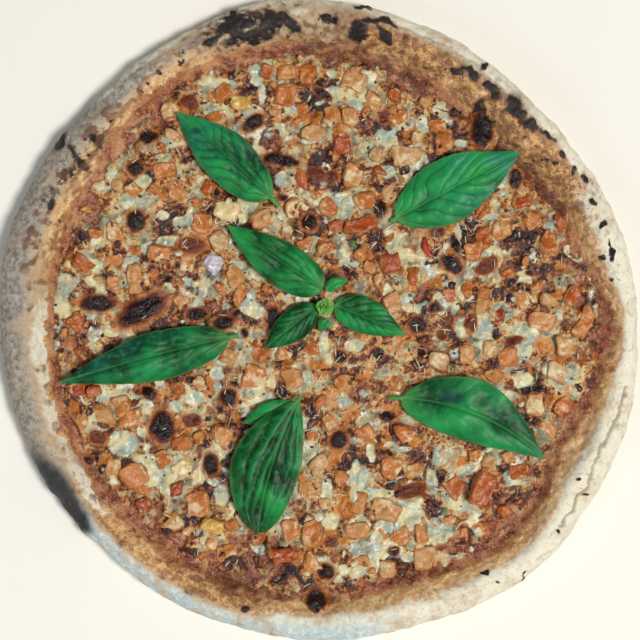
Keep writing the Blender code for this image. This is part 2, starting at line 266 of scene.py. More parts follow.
class Finish:
    """A material built node by node, for one piece or group of like pieces."""

    def __init__(self, name, soaks=None, **plain):
        """Takes plain values, and what share of light goes in and how far, in millimetres."""
        self.material = bpy.data.materials.new(name)
        self.material.use_nodes = True
        self.tree = self.material.node_tree
        self.shader = self.tree.nodes["Principled BSDF"]
        if soaks:
            plain["Subsurface_Weight"] = soaks[0]
            plain["Subsurface_Radius"] = [reach * MM for reach in soaks[1:]]
            plain["Subsurface_Scale"] = 1.0
        for socket, value in plain.items():
            self.shader.inputs[socket.replace("_", " ")].default_value = value
        self.place = self.node("ShaderNodeTexCoord", {}, {}, "Object")

    def node(self, kind, settings, inlets, outlet):
        """Adds a node: its settings first, then the values or links of its sockets."""
        node = self.tree.nodes.new(kind)
        for key, value in settings.items():
            if key == "stops":
                ramp = node.color_ramp.elements
                while len(ramp) < len(value):
                    ramp.new(0.5)
                for stop, (position, colour) in zip(ramp, value):
                    stop.position = position
                    stop.color = colour
            else:
                setattr(node, key, value)
        for key, value in inlets.items():
            if isinstance(key, int):
                inlet = node.inputs[key]
            else:
                inlet = next(s for s in node.inputs if key in (s.identifier, s.name))
            if isinstance(value, Wire):
                self.tree.links.new(value.socket, inlet)
            else:
                inlet.default_value = value
        if isinstance(outlet, int):
            return Wire(self, node.outputs[outlet])
        return Wire(self, next(s for s in node.outputs if outlet in (s.identifier, s.name)))

    def grain(self, size, detail=3.0, roughness=0.5, stretch=None):
        """Random mottling, 0 to 1, with patches of a size in millimetres."""
        place = self.place
        if stretch:
            inlets = {"Vector": place, "Scale": stretch}
            place = self.node("ShaderNodeMapping", {}, inlets, "Vector")
        inlets = {"Vector": place, "Scale": 1000.0 / size, "Detail": detail, "Roughness": roughness}
        return self.node("ShaderNodeTexNoise", {}, inlets, 0)

    def specks(self, size):
        """Distance to the nearest of many scattered points, about 0 to 1."""
        inlets = {"Vector": self.place, "Scale": 1000.0 / size}
        return self.node("ShaderNodeTexVoronoi", {}, inlets, "Distance")

    def mark(self, name):
        """What was noted at the points of the piece."""
        return self.node("ShaderNodeAttribute", {"attribute_name": name}, {}, "Fac")

    def mix(self, share, first, second):
        """Goes from the first colour to the second as the share goes from 0 to 1."""
        inlets = {"Factor_Float": share, "A_Color": first, "B_Color": second}
        return self.node("ShaderNodeMix", {"data_type": "RGBA"}, inlets, "Result_Color")

    def painted(self, colour, *layers):
        """Lays more colours over a first one, each with the share that it covers."""
        for share, over in layers:
            colour = self.mix(share, colour, over)
        return colour

    def ramp(self, share, *stops):
        """A colour that runs through (share, colour) stops."""
        return self.node("ShaderNodeValToRGB", {"stops": stops}, {"Fac": share}, "Color")

    def bump(self, height, depth, strength=1.0):
        """Small relief, with its depth in millimetres."""
        inlets = {"Height": height, "Distance": depth * MM, "Strength": strength}
        return self.node("ShaderNodeBump", {}, inlets, "Normal")

    def feed(self, **sockets):
        """Links what changes over the surface to the shader."""
        for socket, wire in sockets.items():
            self.tree.links.new(wire.socket, self.shader.inputs[socket.replace("_", " ")])

    def on(self, obj, slot):
        """Gives the finish to a piece, which rides on the pizza; the slot is not used."""
        obj.data.materials.clear()
        obj.data.materials.append(self.material)
        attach(obj, "root")


# The section runs from the middle, up the rim and over its crest, then beneath it and back.
STRETCHES = (5, 27, 22, 11, 5)   # steps on the base, the slope, the crest, the wall, beneath
dough, turn_share, run_share = sheet_of("dough", ROUND, sum(STRETCHES))
angle = 360.0 * turn_share
turn = np.radians(angle)
step = run_share * sum(STRETCHES)
outer = around(OUTER_EDGE, angle)
edge = around(SAUCE_EDGE, angle)
foot = edge - RIM_FOOT
crest = edge + CREST * (outer - edge)
height = RIM_LEAST + RIM_GAIN * (outer - edge)
height = height + 0.9 * (np.sin(9 * turn + 0.7) + 0.7 * np.sin(17 * turn + 2.1))
widest = BULGE * height
starts = np.concatenate([[0], np.cumsum(STRETCHES)])
base, slope, over, under, beneath = (
    np.clip((step - a) / (b - a), 0, 1) for a, b in zip(starts[:-1], starts[1:])
)
radius = foot * base + (crest - foot) * slope
radius = radius + (outer - crest) * np.sin(over * math.pi / 2)
radius = radius - RIM_TUCK * (1 - np.cos(under * math.pi / 2))
level = BASE + (height - BASE) * (0.5 - 0.5 * np.cos(math.pi * slope))
level = np.where(over > 0, widest + (height - widest) * np.cos(over * math.pi / 2), level)
level = np.where(under > 0, widest * (1 - np.sin(under * math.pi / 2)), level)
radius = radius * (1 - beneath)
x, y = radius * np.cos(turn), radius * np.sin(turn)
away = np.hypot(x - BLOWN_BUBBLE[0], y - BLOWN_BUBBLE[1]) / BLOWN_BUBBLE[2]
level = level + BLOWN_BUBBLE[3] * np.clip(0.5 * (level / BASE - 1), 0, 1) * np.exp(-(away**2))
points = np.column_stack([x, y, level])

# Where the crust is burnt, browned, golden, floured, greyed by ash and stained by the sauce, and
# where shade, a bluish sky reflection and light are painted on it.
bent = points[:, :2] + 1.6 * np.column_stack([lumps(points, 5, 1), lumps(points, 5, 2)])
share = (radius - edge) / (outer - edge)
share = np.where(step > starts[3], 1.0 + under * 0.4 + beneath, share)


def sector(start, end, soft=10.0):
    """1 around the rim from one angle to the next, anticlockwise, fading beyond them."""
    half = ((end - start) % 360) / 2
    away = np.abs((angle - start - half + 180) % 360 - 180) - half
    return 1 - smooth(away, 0, soft)


def band(low, high, soft=0.16):
    """1 between two shares of the way from the sauce to the outer edge, fading beyond them."""
    return smooth(share, low - soft, low + soft) * (1 - smooth(share, high - soft, high + soft))


def patches(*rows):
    """The most of several stretches: strength, two angles and fade, two shares and fade."""
    return np.max([row[0] * sector(*row[1:4]) * band(*row[4:]) for row in rows], axis=0)


BURNS = (
    (-41, 137, 24, 10, 14), (-22, 139, 20, 10, 4), (-31, 132, 26, 7, 10), (-13, 136, 8, 7),
    (-50, 129, 10, 5, 30), (18, 134, 11, 10), (19, 143.5, 9, 3, 0), (30, 131, 7, 5, -30),
    (28, 137.5, 20, 3.5, -8), (4, 139, 10, 5, 0), (70, 114, 11, 5, -45), (80, 106, 10, 7, -50),
    (90, 98, 12, 7, -50), (98, 90, 10, 6, -40), (105, 85, 8, 5, -30), (75, 95, 5, 14, 10),
    (-103, 83, 9, 4, -50), (-112, 74, 13, 4, -50), (-121, 82, 9, 5, 60), (-117, 92, 10, 4, 50),
    (-125, 53.5, 3, 9, -20), (134.5, 32, 2.6, 11, 15), (127, 55, 5, 3, -60), (123, 66, 6, 3, -60),
    (131, 43, 3, 5), (76, 117, 5, 3), (63, 116, 6, 3, -30), (110.5, -98, 2.5, 2),
    (82, -122, 2.5, 2), (77, -118, 5, 1.8, -20), (120, -74, 2, 2), (123, -81, 2, 1.6),
    (-34, -134, 4, 3),
    (95, -119, 5, 1.4, 40), (-97, 92, 4, 3), (112, 76, 6, 3, -50), (117, 69, 4, 3, -60),
)
SOOT = ((-121.5, -79, 46, 15, -57), (-113, -91, 24, 11, -52))
SCORCHES = (
    (-84, 104, 12, 6, 45), (-95, 97, 12, 6, 50), (-128, 45, 5, 5), (-129, 36, 5, 6),
    (-135, 17, 6, 5), (-131, 17, 5, 5), (-134, 5, 5, 5), (-130, -23, 5, 6), (-128, -31, 5, 6),
    (-141, 30, 4, 8), (-75, -117, 8, 5, -30), (-61, -126, 7, 4, -20), (-56, -126, 6, 4),
    (-93, -103, 8, 6, -45), (141, -12, 5, 8), (-31, 142, 30, 6, 10), (10, 136, 18, 7, 0),
    (43, 128, 14, 7, -25), (56, 122, 14, 8, -30), (62, 102, 12, 10, -30), (86, 92, 18, 12, -40),
    (102, 76, 12, 8, -50), (112, 64, 10, 6, -60), (120, 52, 8, 8), (128, 62, 6, 10, 20),
    (118, 30, 8, 14), (-100, 72, 10, 12, 40), (-113, 60, 6, 12, 20), (-118, 40, 6, 14, 5),
    (-122, 20, 5, 14), (-121, -5, 5, 16), (-117, -35, 6, 12, -15), (-20, 127, 20, 5, 5),
    (-106, -60, 6, 14, -30), (-98, -78, 8, 12, -40), (0, -132, 24, 5), (30, -131, 26, 6, 8),
    (-30, -128, 22, 5, -8), (60, -121, 24, 6, 22), (85, -107, 18, 6, 35), (104, -88, 18, 6, 50),
    (118, -66, 16, 6, 62), (124, -45, 16, 6, 72), (131, -20, 16, 6, 85), (133, 10, 20, 6, 95),
)
ragged = 0.5 + 0.5 * lumps(points, 2.4, 5)
smoked = in_spots(points[:, :2] + 0.4 * (bent - points[:, :2]), SOOT, 0.62)
flecks = smooth(lumps(points, 3.2, 6), 0.45, 0.95) * band(-0.1, 0.62)
burnt = np.max([
    np.clip(in_spots(bent, BURNS, 0.6) * (0.62 + 0.8 * ragged), 0, 1),
    0.75 * flecks * (0.35 + 0.65 * sector(10, 160, 15)),
    0.6 * on_line(bent, ((-100, 86), (-108, 78), (-118, 68), (-126, 52)), 7) * (ragged > 0.55),
], axis=0)
around_burns = [(*spot[:2], 1.6 * spot[2], 1.6 * spot[3], *spot[4:]) for spot in BURNS]
rusty = smooth(lumps(points, 4.0, 18) + 0.5 * lumps(points, 1.9, 19), -0.3, 0.4)
scorched = np.max([
    in_spots(bent, SCORCHES, 0.5) * (0.35 + 0.65 * ragged),
    in_spots(bent, around_burns, 0.7) * (0.45 + 0.5 * ragged),
    0.6 * in_spots(bent, SOOT, 0.95),
    0.75 * smooth(lumps(points, 6, 7), 0.1, 0.8) * band(-0.5, 0.3),
    patches((1.1, 136, 168, 6, 0.28, 0.62, 0.12)) * rusty,
    patches(
        (0.8, 78, 118, 14, 0.15, 0.8), (0.7, 24, 58, 12, -0.1, 0.66),
        (0.55, 150, 206, 10, 0.66, 1.1), (0.9, 66, 96, 8, -0.4, 0.5),
        (0.95, 94, 114, 8, 0.0, 0.95),
    ) * ragged,
], axis=0) * (1 - 0.85 * sector(264, 14) * smooth(share, -0.08, 0.1))
golden = np.maximum(band(-0.6, 0.2, 0.2) * (0.65 + 0.35 * lumps(points, 7, 8)), patches(
    (0.85, 12, 80, 12, -0.1, 0.7, 0.2), (0.85, 218, 262, 12, -0.2, 0.48, 0.14),
    (0.5, 280, 318, 10, -0.1, 0.36, 0.14),
))
floury = np.maximum(
    0.7 * in_spots(bent, ((98, 99, 14, 8, -45), (-10, 143, 10, 6)), 0.5), patches(
        (1.0, 262, 22, 10, 0.26, 2.0, 0.18), (1.0, 12, 74, 14, 0.68, 2.0, 0.12),
        (0.85, 222, 264, 10, 0.52, 2.0, 0.12), (1.0, 180, 217, 10, -0.1, 0.3),
        (0.8, 74, 132, 10, 0.76, 2.0, 0.14),
    )
) * (0.72 + 0.28 * lumps(points, 9, 9))
# Ash on the rim, with painted shade on the outer wall at the left, which faces away from the key
# lamp.
ashen = np.max([
    patches((1.0, 126, 216, 12, 0.36, 2.0, 0.2)) * (0.9 + 0.3 * lumps(points, 8, 10)),
    patches((0.75, 130, 160, 8, 0.86, 2.0, 0.12)),
    0.7 * in_spots(bent, ((88, 107, 16, 9, -40), (-60, 128, 18, 6, 28)), 0.5),
], axis=0)
# Painted reflection of a bluish sky on the outer wall at the lower left and bottom.
cold = patches((1.0, 214, 276, 12, 0.5, 2.0, 0.2))
stained = 1 - smooth(share, -0.12, 0.14 + 0.10 * lumps(points, 6, 11))
stained = stained * (1 - 0.7 * sector(264, 14) * smooth(share, -0.2, 0.0))
stained = np.maximum(stained, patches((0.8, 350, 8, 10, -0.5, 0.1, 0.1)))
dripped = smooth(lumps(points, 6.5, 16) + 0.4 * lumps(points, 2.2, 17), 0.35, 0.7)
dripped = dripped * band(-0.6, 0.16, 0.1)
cheese_stain = ((60, 110, 7, 4), (72, 104, 6, 4), (95, 82, 7, 5), (-76, -110, 18, 8, -30))
inner_edge = ((-80, 114), (-77, 111), (-90, 98), (-95, 88), (-105, 78), (-110, 62), (-114, 50))
yellow = np.max([
    on_line(bent, inner_edge, 4.5),
    in_spots(bent, cheese_stain, 0.5),
    # Painted light: the inner slope at the lower right, shaded by the key lamp, is lightened to
    # golden as if lit.
    patches((1.0, 264, 14, 10, -0.18, 0.4)) * (0.75 + 0.35 * ragged),
    patches((0.8, 220, 248, 8, -0.15, 0.32, 0.14)) * ragged,
    patches((1.0, 116, 164, 8, -0.02, 0.3, 0.12)) * (0.5 + 0.5 * ragged),
], axis=0)

# Relief: swells, blisters under the burns, a seam at the lower right and a rough floury skin.
swell = 0.75 * lumps(points, 15, 12, 2) + 0.42 * lumps(points, 5, 13, 2)
skin = 0.20 * lumps(points, 1.9, 14, 2) * (1 - 0.4 * floury)
creased = on_line(bent, ((143, -32), (138, -46), (130, -60), (123, -78), (112, -96)), 2.6)
creased = np.maximum(creased, on_line(bent, ((-72, 118), (-88, 101), (-104, 80), (-117, 60)), 3.0))
creased = np.maximum(creased, 0.7 * on_line(bent, ((30, 140), (52, 130), (72, 118), (96, 97)), 2.4))
cracked = 1 - smooth(np.abs(lumps(points, 11, 15, 2)), 0.0, 0.09)
cracked = cracked * (0.3 + 0.7 * ragged) * band(0.1, 1.2)
rough = swell + skin + 0.55 * burnt * ragged + 0.4 * scorched * ragged + 0.5 * dripped
rough = rough - 0.9 * creased - 0.3 * cracked
shown = smooth(step, starts[1] - 1.0, starts[1] + 3.0)
shown = shown * (1 - smooth(step, starts[4] - 4, starts[4]))
grid = (sum(STRETCHES) + 1, ROUND + 1)
by_row = points.reshape(*grid, 3)
ring = np.concatenate([by_row[:, -2:-1], by_row, by_row[:, 1:2]], axis=1)
round_way = ring[:, 2:] - ring[:, :-2]
run_way = np.gradient(by_row, axis=0)
outward = np.cross(round_way, run_way).reshape(-1, 3)
outward = -outward / np.maximum(np.linalg.norm(outward, axis=1, keepdims=True), 1e-9)
outward *= np.where((outward[:, 2] < 0) & (step < starts[2]), -1, 1)[:, None]
points = points + outward * (rough * shown)[:, None]
points[:, 2] = np.maximum(points[:, 2], 0.0)
put_points(dough, points * MM)
note(
    dough, burnt=burnt, smoked=smoked, scorched=scorched, golden=golden,
    floury=np.clip(floury, 0, 1), ashen=np.clip(ashen, 0, 1), cold=cold, stained=stained,
    yellow=yellow, dripped=dripped, cracked=np.maximum(creased, 0.6 * cracked),
    under=smooth(step, starts[3] + 3, starts[4]),
)
closed(dough)

crumb = Finish("baked_dough", (0.05, 3.0, 1.5, 0.8), Roughness=0.85)
broad = crumb.grain(7.0, 4.0, 0.55)
middle = crumb.grain(2.4, 4.0, 0.6)
fine = crumb.grain(0.8, 4.0, 0.65)
dust = crumb.specks(1.5)
clots, seared_bits = middle.rise(0.35, 0.6), (1 - fine).rise(0.56, 0.66) * 0.85
gold = (crumb.mark("golden") * (0.5 + 0.8 * middle) + (fine - 0.5) * 0.25).rise(0.1, 0.9)
toast = crumb.painted(
    crumb.mix(middle.rise(0.42, 0.58), hue(128, 66, 30), hue(214, 160, 96)),
    (fine.rise(0.54, 0.64) * 0.85, hue(236, 200, 134)), (seared_bits, hue(92, 46, 26)),
)
butter = crumb.mix(middle.rise(0.4, 0.6), hue(236, 170, 104), hue(252, 222, 172))
# The grey of ash, which is also the painted shade on the left outer wall.
ash_and_shade_cover = (crumb.mark("ashen") * (0.6 + 0.7 * broad) + (fine - 0.5) * 0.2).rise(0.1, 0.95)
ash_and_shade_grey = crumb.mix(middle.rise(0.3, 0.7), hue(112, 106, 100), hue(178, 168, 152))
ash_and_shade_grey = crumb.mix(fine.rise(0.54, 0.66) * 0.6, ash_and_shade_grey, hue(204, 190, 166))
flour = crumb.mark("floury") * (0.55 + 0.8 * broad) + (middle - 0.5) * 0.6
flour = flour.rise(0.16, 0.74)
# The floured white, turned bluish where the sky reflection is painted.
white = crumb.painted(
    crumb.mix(crumb.mark("cold"), hue(232, 224, 200), hue(188, 202, 202)),
    (middle.rise(0.5, 0.66) * 0.6, hue(232, 234, 222)),
    ((1 - middle).rise(0.57, 0.7) * 0.5, hue(214, 176, 124)),
)
stain = (crumb.mark("stained") * (0.5 + 0.8 * middle) + (fine - 0.5) * 0.4).rise(0.35, 0.8)
stew = crumb.mix(fine.rise(0.35, 0.65), hue(110, 56, 34), hue(178, 112, 68))
drip = (crumb.mark("dripped") + (middle - 0.5) * 0.6 + (fine - 0.5) * 0.3).rise(0.3, 0.75)
scorch = crumb.mark("scorched") * (0.4 + 1.0 * middle) + (fine - 0.5) * 0.5
burn = crumb.mark("burnt") * (0.55 + 0.9 * middle) + (fine - 0.5) * 0.6
char = crumb.mix(fine.rise(0.45, 0.75), hue(12, 10, 14), hue(66, 40, 30))
soot = (crumb.mark("smoked") + (middle - 0.5) * 0.6 + (fine - 0.5) * 0.3).rise(0.3, 1.0)
pit = dust.rise(0.22, 0.08) * (1 - soot)
colour = crumb.painted(
    crumb.mix(broad, hue(184, 156, 122), hue(206, 182, 146)),
    (middle.rise(0.45, 0.75) * 0.4, hue(162, 124, 88)),
    # The yellow layer holds golden crust, cheese stains and painted light on the lower right inner
    # slope; the grey layer holds ash and painted shade.
    (gold, toast), (crumb.mark("yellow") * (0.2 + broad), butter), (ash_and_shade_cover, ash_and_shade_grey), (flour, white),
    (stain * 0.85, stew), (drip * 0.8, crumb.mix(clots, hue(196, 140, 74), hue(226, 204, 150))),
    (scorch.rise(0.28, 0.85) * 0.85, crumb.mix(fine, hue(70, 38, 26), hue(140, 86, 50))),
    (burn.rise(0.26, 0.78), char),
    (soot, crumb.mix(middle.rise(0.4, 0.8), hue(30, 31, 34), hue(58, 54, 54))),
    (crumb.mark("cracked") * 0.6, hue(104, 72, 48)), (pit * 0.5, hue(96, 58, 36)),
    (crumb.mark("under"), crumb.mix(middle.rise(0.4, 0.7), hue(190, 164, 128), hue(140, 96, 58))),
)
relief = fine * 0.7 + middle * 0.9 - pit * 0.5
crumb.feed(
    Base_Color=colour, Roughness=0.6 + 0.3 * flour - 0.15 * stain,
    Normal=crumb.bump(relief, 0.5, 0.8),
)
crumb.on(dough, "dough")
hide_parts("crust")

# ---------------------------------------------------------------------------------------
# Tomato sauce. Crushed tomato spread on the raw dough by ladle, baked down to a dark, oily,
# pulpy film that shows as a ring at the foot of the rim and in gaps of the cheese.
SAUCE_START = 84.0   # from the middle to where the modelled ring starts, under the cheese
SAUCE_LAP = 5.5      # how far it laps over its outline, on the foot of the rim
SAUCE_FILM = 1.25    # its usual thickness
ABOVE = 0.06         # metres, a height over everything on the pizza
DOWN = Vector((0, 0, -1))
dough_tree = BVHTree.FromObject(dough, bpy.context.evaluated_depsgraph_get())


def on_top(tree, places):
    """Heights of a surface beneath places, in millimetres."""
    heights = np.zeros(len(places))
    for k, (x, y) in enumerate(places[:, :2].tolist()):
        hit = tree.ray_cast(Vector((x * MM, y * MM, ABOVE)), DOWN)[0]
        if hit:
            heights[k] = hit.z / MM
    return heights


sauce, turn_share, run_share = sheet_of("tomato_sauce_ring", 980, 62)
angle = 360.0 * turn_share
turn = np.radians(angle)
edge = around(SAUCE_EDGE, angle)
radius = SAUCE_START + run_share * (edge + SAUCE_LAP - SAUCE_START)
points = np.column_stack([radius * np.cos(turn), radius * np.sin(turn), np.zeros(len(turn))])
fray = 2.2 * lumps(points, 7, 21) + 1.0 * lumps(points, 2.5, 22)
beyond = radius - (edge + fray + 0.9)
thick = SAUCE_FILM + 0.42 * lumps(points, 5, 23, 2) + 0.30 * lumps(points, 1.9, 24, 2)
thick = thick * (1 - smooth(beyond, -2.6, 0.6)) - 1.6 * smooth(beyond, -0.4, 1.6)
thick = np.where(run_share < 0.01, -1.0, thick)
points[:, 2] = on_top(dough_tree, points) + thick
put_points(sauce, points * MM)
pulp_lumps = smooth(lumps(points, 2.6, 25), 0.1, 0.8)
seared = np.max([sector(26, 48, 8), sector(68, 92, 8), 0.8 * sector(249, 262, 6)], axis=0)
creamy = np.max([1.1 * sector(264, 14, 10), sector(184, 214, 8), 0.7 * sector(218, 246, 8)], axis=0)
patchy = 0.6 + 0.5 * lumps(points, 4.2, 26)
note(
    sauce, pulp=pulp_lumps, thin=smooth(beyond, -4.5, 0.5), seared=seared * patchy,
    creamy=creamy * smooth(radius - edge, -3.0, 2.0) * patchy,
)
closed(sauce)
sauce_tree = BVHTree.FromObject(sauce, bpy.context.evaluated_depsgraph_get())

pulp = Finish("baked_tomato_sauce", (0.1, 3.0, 1.0, 0.5), Roughness=0.4)
broad = pulp.grain(6.5, 3.0, 0.55)
middle = pulp.grain(2.6, 3.0, 0.55)
fine = pulp.grain(1.0, 4.0, 0.65)
seared, creamy = (
    (pulp.mark(name) * (added + middle)).rise(0.2, 0.7) * 0.8
    for name, added in (("seared", 0.4), ("creamy", 0.5))
)
colour = pulp.painted(
    pulp.mix(middle.rise(0.32, 0.68), hue(92, 40, 28), hue(164, 96, 70)),
    (broad.rise(0.46, 0.6) * 0.8, hue(196, 142, 96)),
    ((pulp.mark("pulp") * (0.5 + fine)).rise(0.4, 1.0) * 0.6, hue(174, 92, 64)),
    (fine.rise(0.55, 0.66) * 0.7, hue(222, 186, 144)),
    ((1 - fine).rise(0.56, 0.7) * 0.65, hue(58, 26, 20)),
    (pulp.mark("thin") * (0.3 + 0.7 * middle), hue(186, 130, 80)),
    (seared, pulp.mix(fine.rise(0.4, 0.65), hue(56, 30, 20), hue(132, 78, 46))),
    (creamy, pulp.mix(fine.rise(0.4, 0.6), hue(198, 140, 80), hue(232, 198, 140))),
)
pulp.feed(
    Base_Color=colour, Roughness=0.16 + 0.4 * middle, Normal=pulp.bump(fine + middle, 0.6, 0.9),
)
pulp.on(sauce, "sauce")
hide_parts("tomato_sauce")

# ---------------------------------------------------------------------------------------
# Cheese. Shredded mozzarella melted into one oily sheet over the sauce: white and glossy in
# pools, browned where it is thin, and blown into dark blisters where steam lifted it.
BED_STEP = 0.82      # between its points
BED_REACH = 141.0    # half the side of the sheet that it is cut from
SPARE = 0.5          # how far the cheese stays inside the edge of the sauce
RIM_LAP = 8.0        # how far it laps up the rim at two of its blisters
FILM_LEVEL = 4.8     # where it is only a film, just over the dough
BODY = 3.1           # how much more it is where it covers the sauce
EDGE_LEVEL = 4.4     # at its very edge
AT_THE_RIM = ((-1.5, -131, 24, 26), (76, 89, 22, 24))   # blisters that lap up the rim
BLISTERS = (
    (-83, 4.5, 26, 11, 30, 2.6), (-104, 7.5, 18, 7, 0, 2.0), (-86, 46, 9, 10, 0, 2.2),
    (-60, 35, 12, 7, 0, 1.2), (-86, 71, 7, 7, 0, 1.6), (-80, 86, 9, 7, 0, 1.6),
    (-61, 102, 9, 6, -30, 1.5), (-31, 92.5, 12, 7, 40, 1.8), (-18, 75, 17, 6, -12, 1.5),
    (-1, 68, 8, 6, -20, 1.5), (5.5, 67, 7, 6, 0, 1.3), (30, 95, 6, 6, 0, 1.0),
    (1, 106, 10, 4, -35, 1.2), (-17, 57, 5, 3, 0, 0.8), (-5, 46, 8, 8, 0, 1.8),
    (28, 52, 6, 10, 0, 1.6), (46, -2, 9, 8, 0, 1.6), (27, -16, 6, 5, 0, 1.0),
    (9, -17, 6, 6, 0, 1.0), (48, -15, 4, 7, 0, 1.0), (-43, -36, 8, 8, 0, 2.0),
    (-74, -50, 11, 16, 0, 2.6), (-60, -47, 9, 6, 0, 1.4), (-80, -34, 9, 5, -35, 1.4),
    (-61, -28, 5, 4, 0, 1.0), (-51, -68, 7, 11, 0, 2.2), (-35, -6, 4, 4, 0, 0.8),
    (9, -56, 8, 9, -45, 2.0), (43, -80, 13, 7, 5, 1.8), (62, 26, 12, 8, -50, 2.0),
    (78, 25, 12, 6, 25, 1.6), (55, 41, 8, 5, 0, 1.1), (54, 6, 6, 5, 0, 1.0),
    (76, 89, 10, 17, 0, 1.6), (63, 97, 6, 5, 0, 1.0), (92, 66, 6, 10, 0, 1.4),
    (91, -9.5, 9, 4, 5, 0.8), (2.5, -118, 8, 8, -50, 2.0), (-1.5, -131, 9, 11, 0, 2.6),
    (57, -7, 5, 5, 0, 1.0), (71, -1, 5, 8, 0, 1.0), (-104, -55, 7, 6, 0, 1.6),
    (-109, -66, 5, 4, 0, 1.0), (31, -45, 8, 4, 0, 0.8), (35, -108, 5, 4, 0, 0.8),
    (5, -104, 6, 5, 0, 1.0), (-58, 3, 10, 6, 0, 1.0), (-45, -1, 10, 6, 0, 1.0),
    (98, 22, 4, 3, 0, 0.6), (61, 0, 4, 4, 0, 0.6), (-22, 1, 8, 12, 0, 0.8),
)
RUSTY_BLISTERS = (
    (43, -80, 12, 7, 5), (30, 95, 6, 6), (-60, 35, 12, 7), (-60, -47, 9, 6), (5, -104, 6, 5),
    (71, -1, 5, 8), (57, -7, 5, 5), (-61, 102, 9, 6, -30), (-1, 68, 8, 6), (5.5, 67, 7, 6),
    (61, 0, 4, 4), (55, 41, 8, 5), (-104, -55, 7, 6), (78, 25, 12, 6, 25), (91, -9.5, 9, 4),
)
POOLS = (
    (-104, 36, 8, 6), (-72, 37, 9, 6), (-74, 49, 6, 5), (-90, 56, 8, 8), (-105, 25, 6, 8, 45),
    (-98, -6, 12, 4), (-83, 65, 9, 6), (-73, 76, 8, 4), (-101, -35, 5, 8), (-104, -52, 8, 5),
    (-118, -57, 7, 10), (-92, -58, 15, 12), (-83, -52, 5, 6), (-76, -73, 6, 5),
    (-47, -60, 8, 12), (-50, -76, 6, 4), (-46, -82, 8, 10), (-29, -107, 6, 8, 40),
    (3, -80, 6, 12), (17, -74, 14, 8), (24, -63, 4, 8), (38, -60, 10, 3), (28, -81, 16, 4),
    (43, -85, 12, 6), (42, -92, 6, 14), (30, -97, 10, 8), (26, -105, 6, 12), (16, -107, 6, 6),
    (11, -117, 5, 6), (5, -95, 8, 8), (56, -101, 8, 18, -60), (52, -75, 6, 14), (68, -70, 8, 5),
    (67, -52, 6, 5), (92, -76, 9, 3), (76, -4, 10, 16), (66, -4, 5, 10), (63, 6, 5, 8),
    (97, -7, 12, 8), (97, -14, 5, 12), (95, -28, 10, 8), (88, -36, 10, 7), (112, 2, 4, 5),
    (70, 22, 5, 6), (77, 31, 8, 6), (81, 48, 8, 3), (107, 44, 5, 4), (65, 41, 3, 8),
    (116, 33, 4, 6), (57, 100, 8, 5, 45), (66, 83, 8, 4), (48, 91, 6, 10), (33, 86, 4, 10, -30),
    (31, 69, 10, 6), (6, 116, 5, 5), (-1, 117, 3, 3), (-5, 85, 10, 5), (-14, 99, 6, 6),
    (-27, 106, 4, 12), (-30, 112, 6, 5), (-29, 79, 8, 5), (-17, 89, 4, 6), (-24, 87, 5, 3),
    (-18, 66, 5, 8), (-36, 100, 8, 3), (-36, 48, 5, 6), (-15, 42, 5, 3), (44, 24, 4, 4),
    (16, -12, 10, 6), (2, -11, 5, 12), (31, 11, 3, 3), (46, 5, 3, 5), (48, 28, 4, 4),
    (-44, 7, 5, 3), (10, 27, 3, 4), (16, 26, 4, 3), (-12, -22, 3, 2), (-6, -27, 4, 6),
    (-23, -30, 5, 5), (-48, -25, 6, 8), (-48, -32, 4, 5), (-30, -38, 8, 3), (-59, -37, 12, 6),
    (-68, -41, 8, 6), (-82, -42, 8, 4), (-75, -29, 5, 6),
)
SAUCY_GAPS = (
    (-35, -112, 42, 26, 15), (-86, -90, 26, 16, -50), (114, -58, 22, 60, -28),
    (40, -122, 46, 14, 12), (-86, 92, 40, 22, 50), (5, 124, 16, 10), (3, -130, 12, 8),
    (90, -92, 26, 22, 40), (65, -103, 19, 14, 10), (119, 20, 18, 14), (-113, -20, 12, 26, 10),
    (40, 112, 26, 14, -20), (-108, 52, 12, 18, 10), (-70, -105, 18, 12, 30),
)
# Dice that aren't part of the counted ones: x, y, length, width, turn and how red they are.
MORE_DICE = (
    (13.5, 95.5, 9, 8, 10, 0.4), (10.5, 82, 8, 10, 5, 0.9), (21.5, 55.5, 8.5, 8.5, 15, 0.6),
    (-62.5, 26, 8.5, 8, -10, 0.4), (-97, 28.5, 9, 7, 0, 0.5), (-96.5, 42, 8, 10.5, 12, 0.4),
    (3.5, 34, 9, 6, 0, 0.7), (33, 26.5, 9, 10, 4, 0.9), (85, 41, 9, 8, 10, 0.4),
    (98, 46, 8.5, 8, 30, 0.6), (94.5, 10.5, 9, 9, 20, 0.4), (68.5, -17, 8.5, 8.5, 10, 0.3),
    (107, -52, 7, 11, -10, 0.4), (22, -53.5, 10, 9, 20, 0.6), (-6, -78.5, 9, 9, 10, 0.4),
    (17, -98, 10, 9, -5, 0.3), (19.5, -114.5, 8, 9, 15, 0.4), (-109.5, -48.5, 9, 9, 30, 0.4),
    (-65, -57.5, 9, 9.5, 10, 0.7), (-44.5, -54.5, 10, 10, 0, 0.4), (-71, 112, 9, 8, 35, 0.5),
    (-88, 33, 8, 6, -15, 0.7), (-37, 11, 7, 9, -40, 0.6), (20, 44.5, 15, 7, 5, 0.9),
    (43, 20, 6, 9, 10, 0.9), (-27, 47, 9, 7, 10, 0.3), (57, 82, 9, 9, 20, 0.7),
    (112, 45, 6, 8, 15, 0.9), (84, 2, 6, 7, 10, 1.0), (78.5, -14, 7, 7, 0, 0.2),
    (82.5, -26.5, 8, 7, 40, 0.5), (92.5, -71, 10, 6, 10, 0.8), (88, -64, 7, 7, 20, 0.3),
    (47, -99, 7, 9, 15, 0.5), (18.5, -86, 6, 10, -10, 0.4), (-28, -101, 8, 8, 30, 0.8),
    (-96, -68, 7, 8, 0, 0.3), (-93, -40, 8, 8, 20, 0.5), (-105, -33, 8, 7, 10, 0.8),
    (-113, -33, 7, 6, 20, 0.9), (-67, -79, 7, 7, 0, 1.0), (-83, -86, 7, 7, 20, 1.0),
)


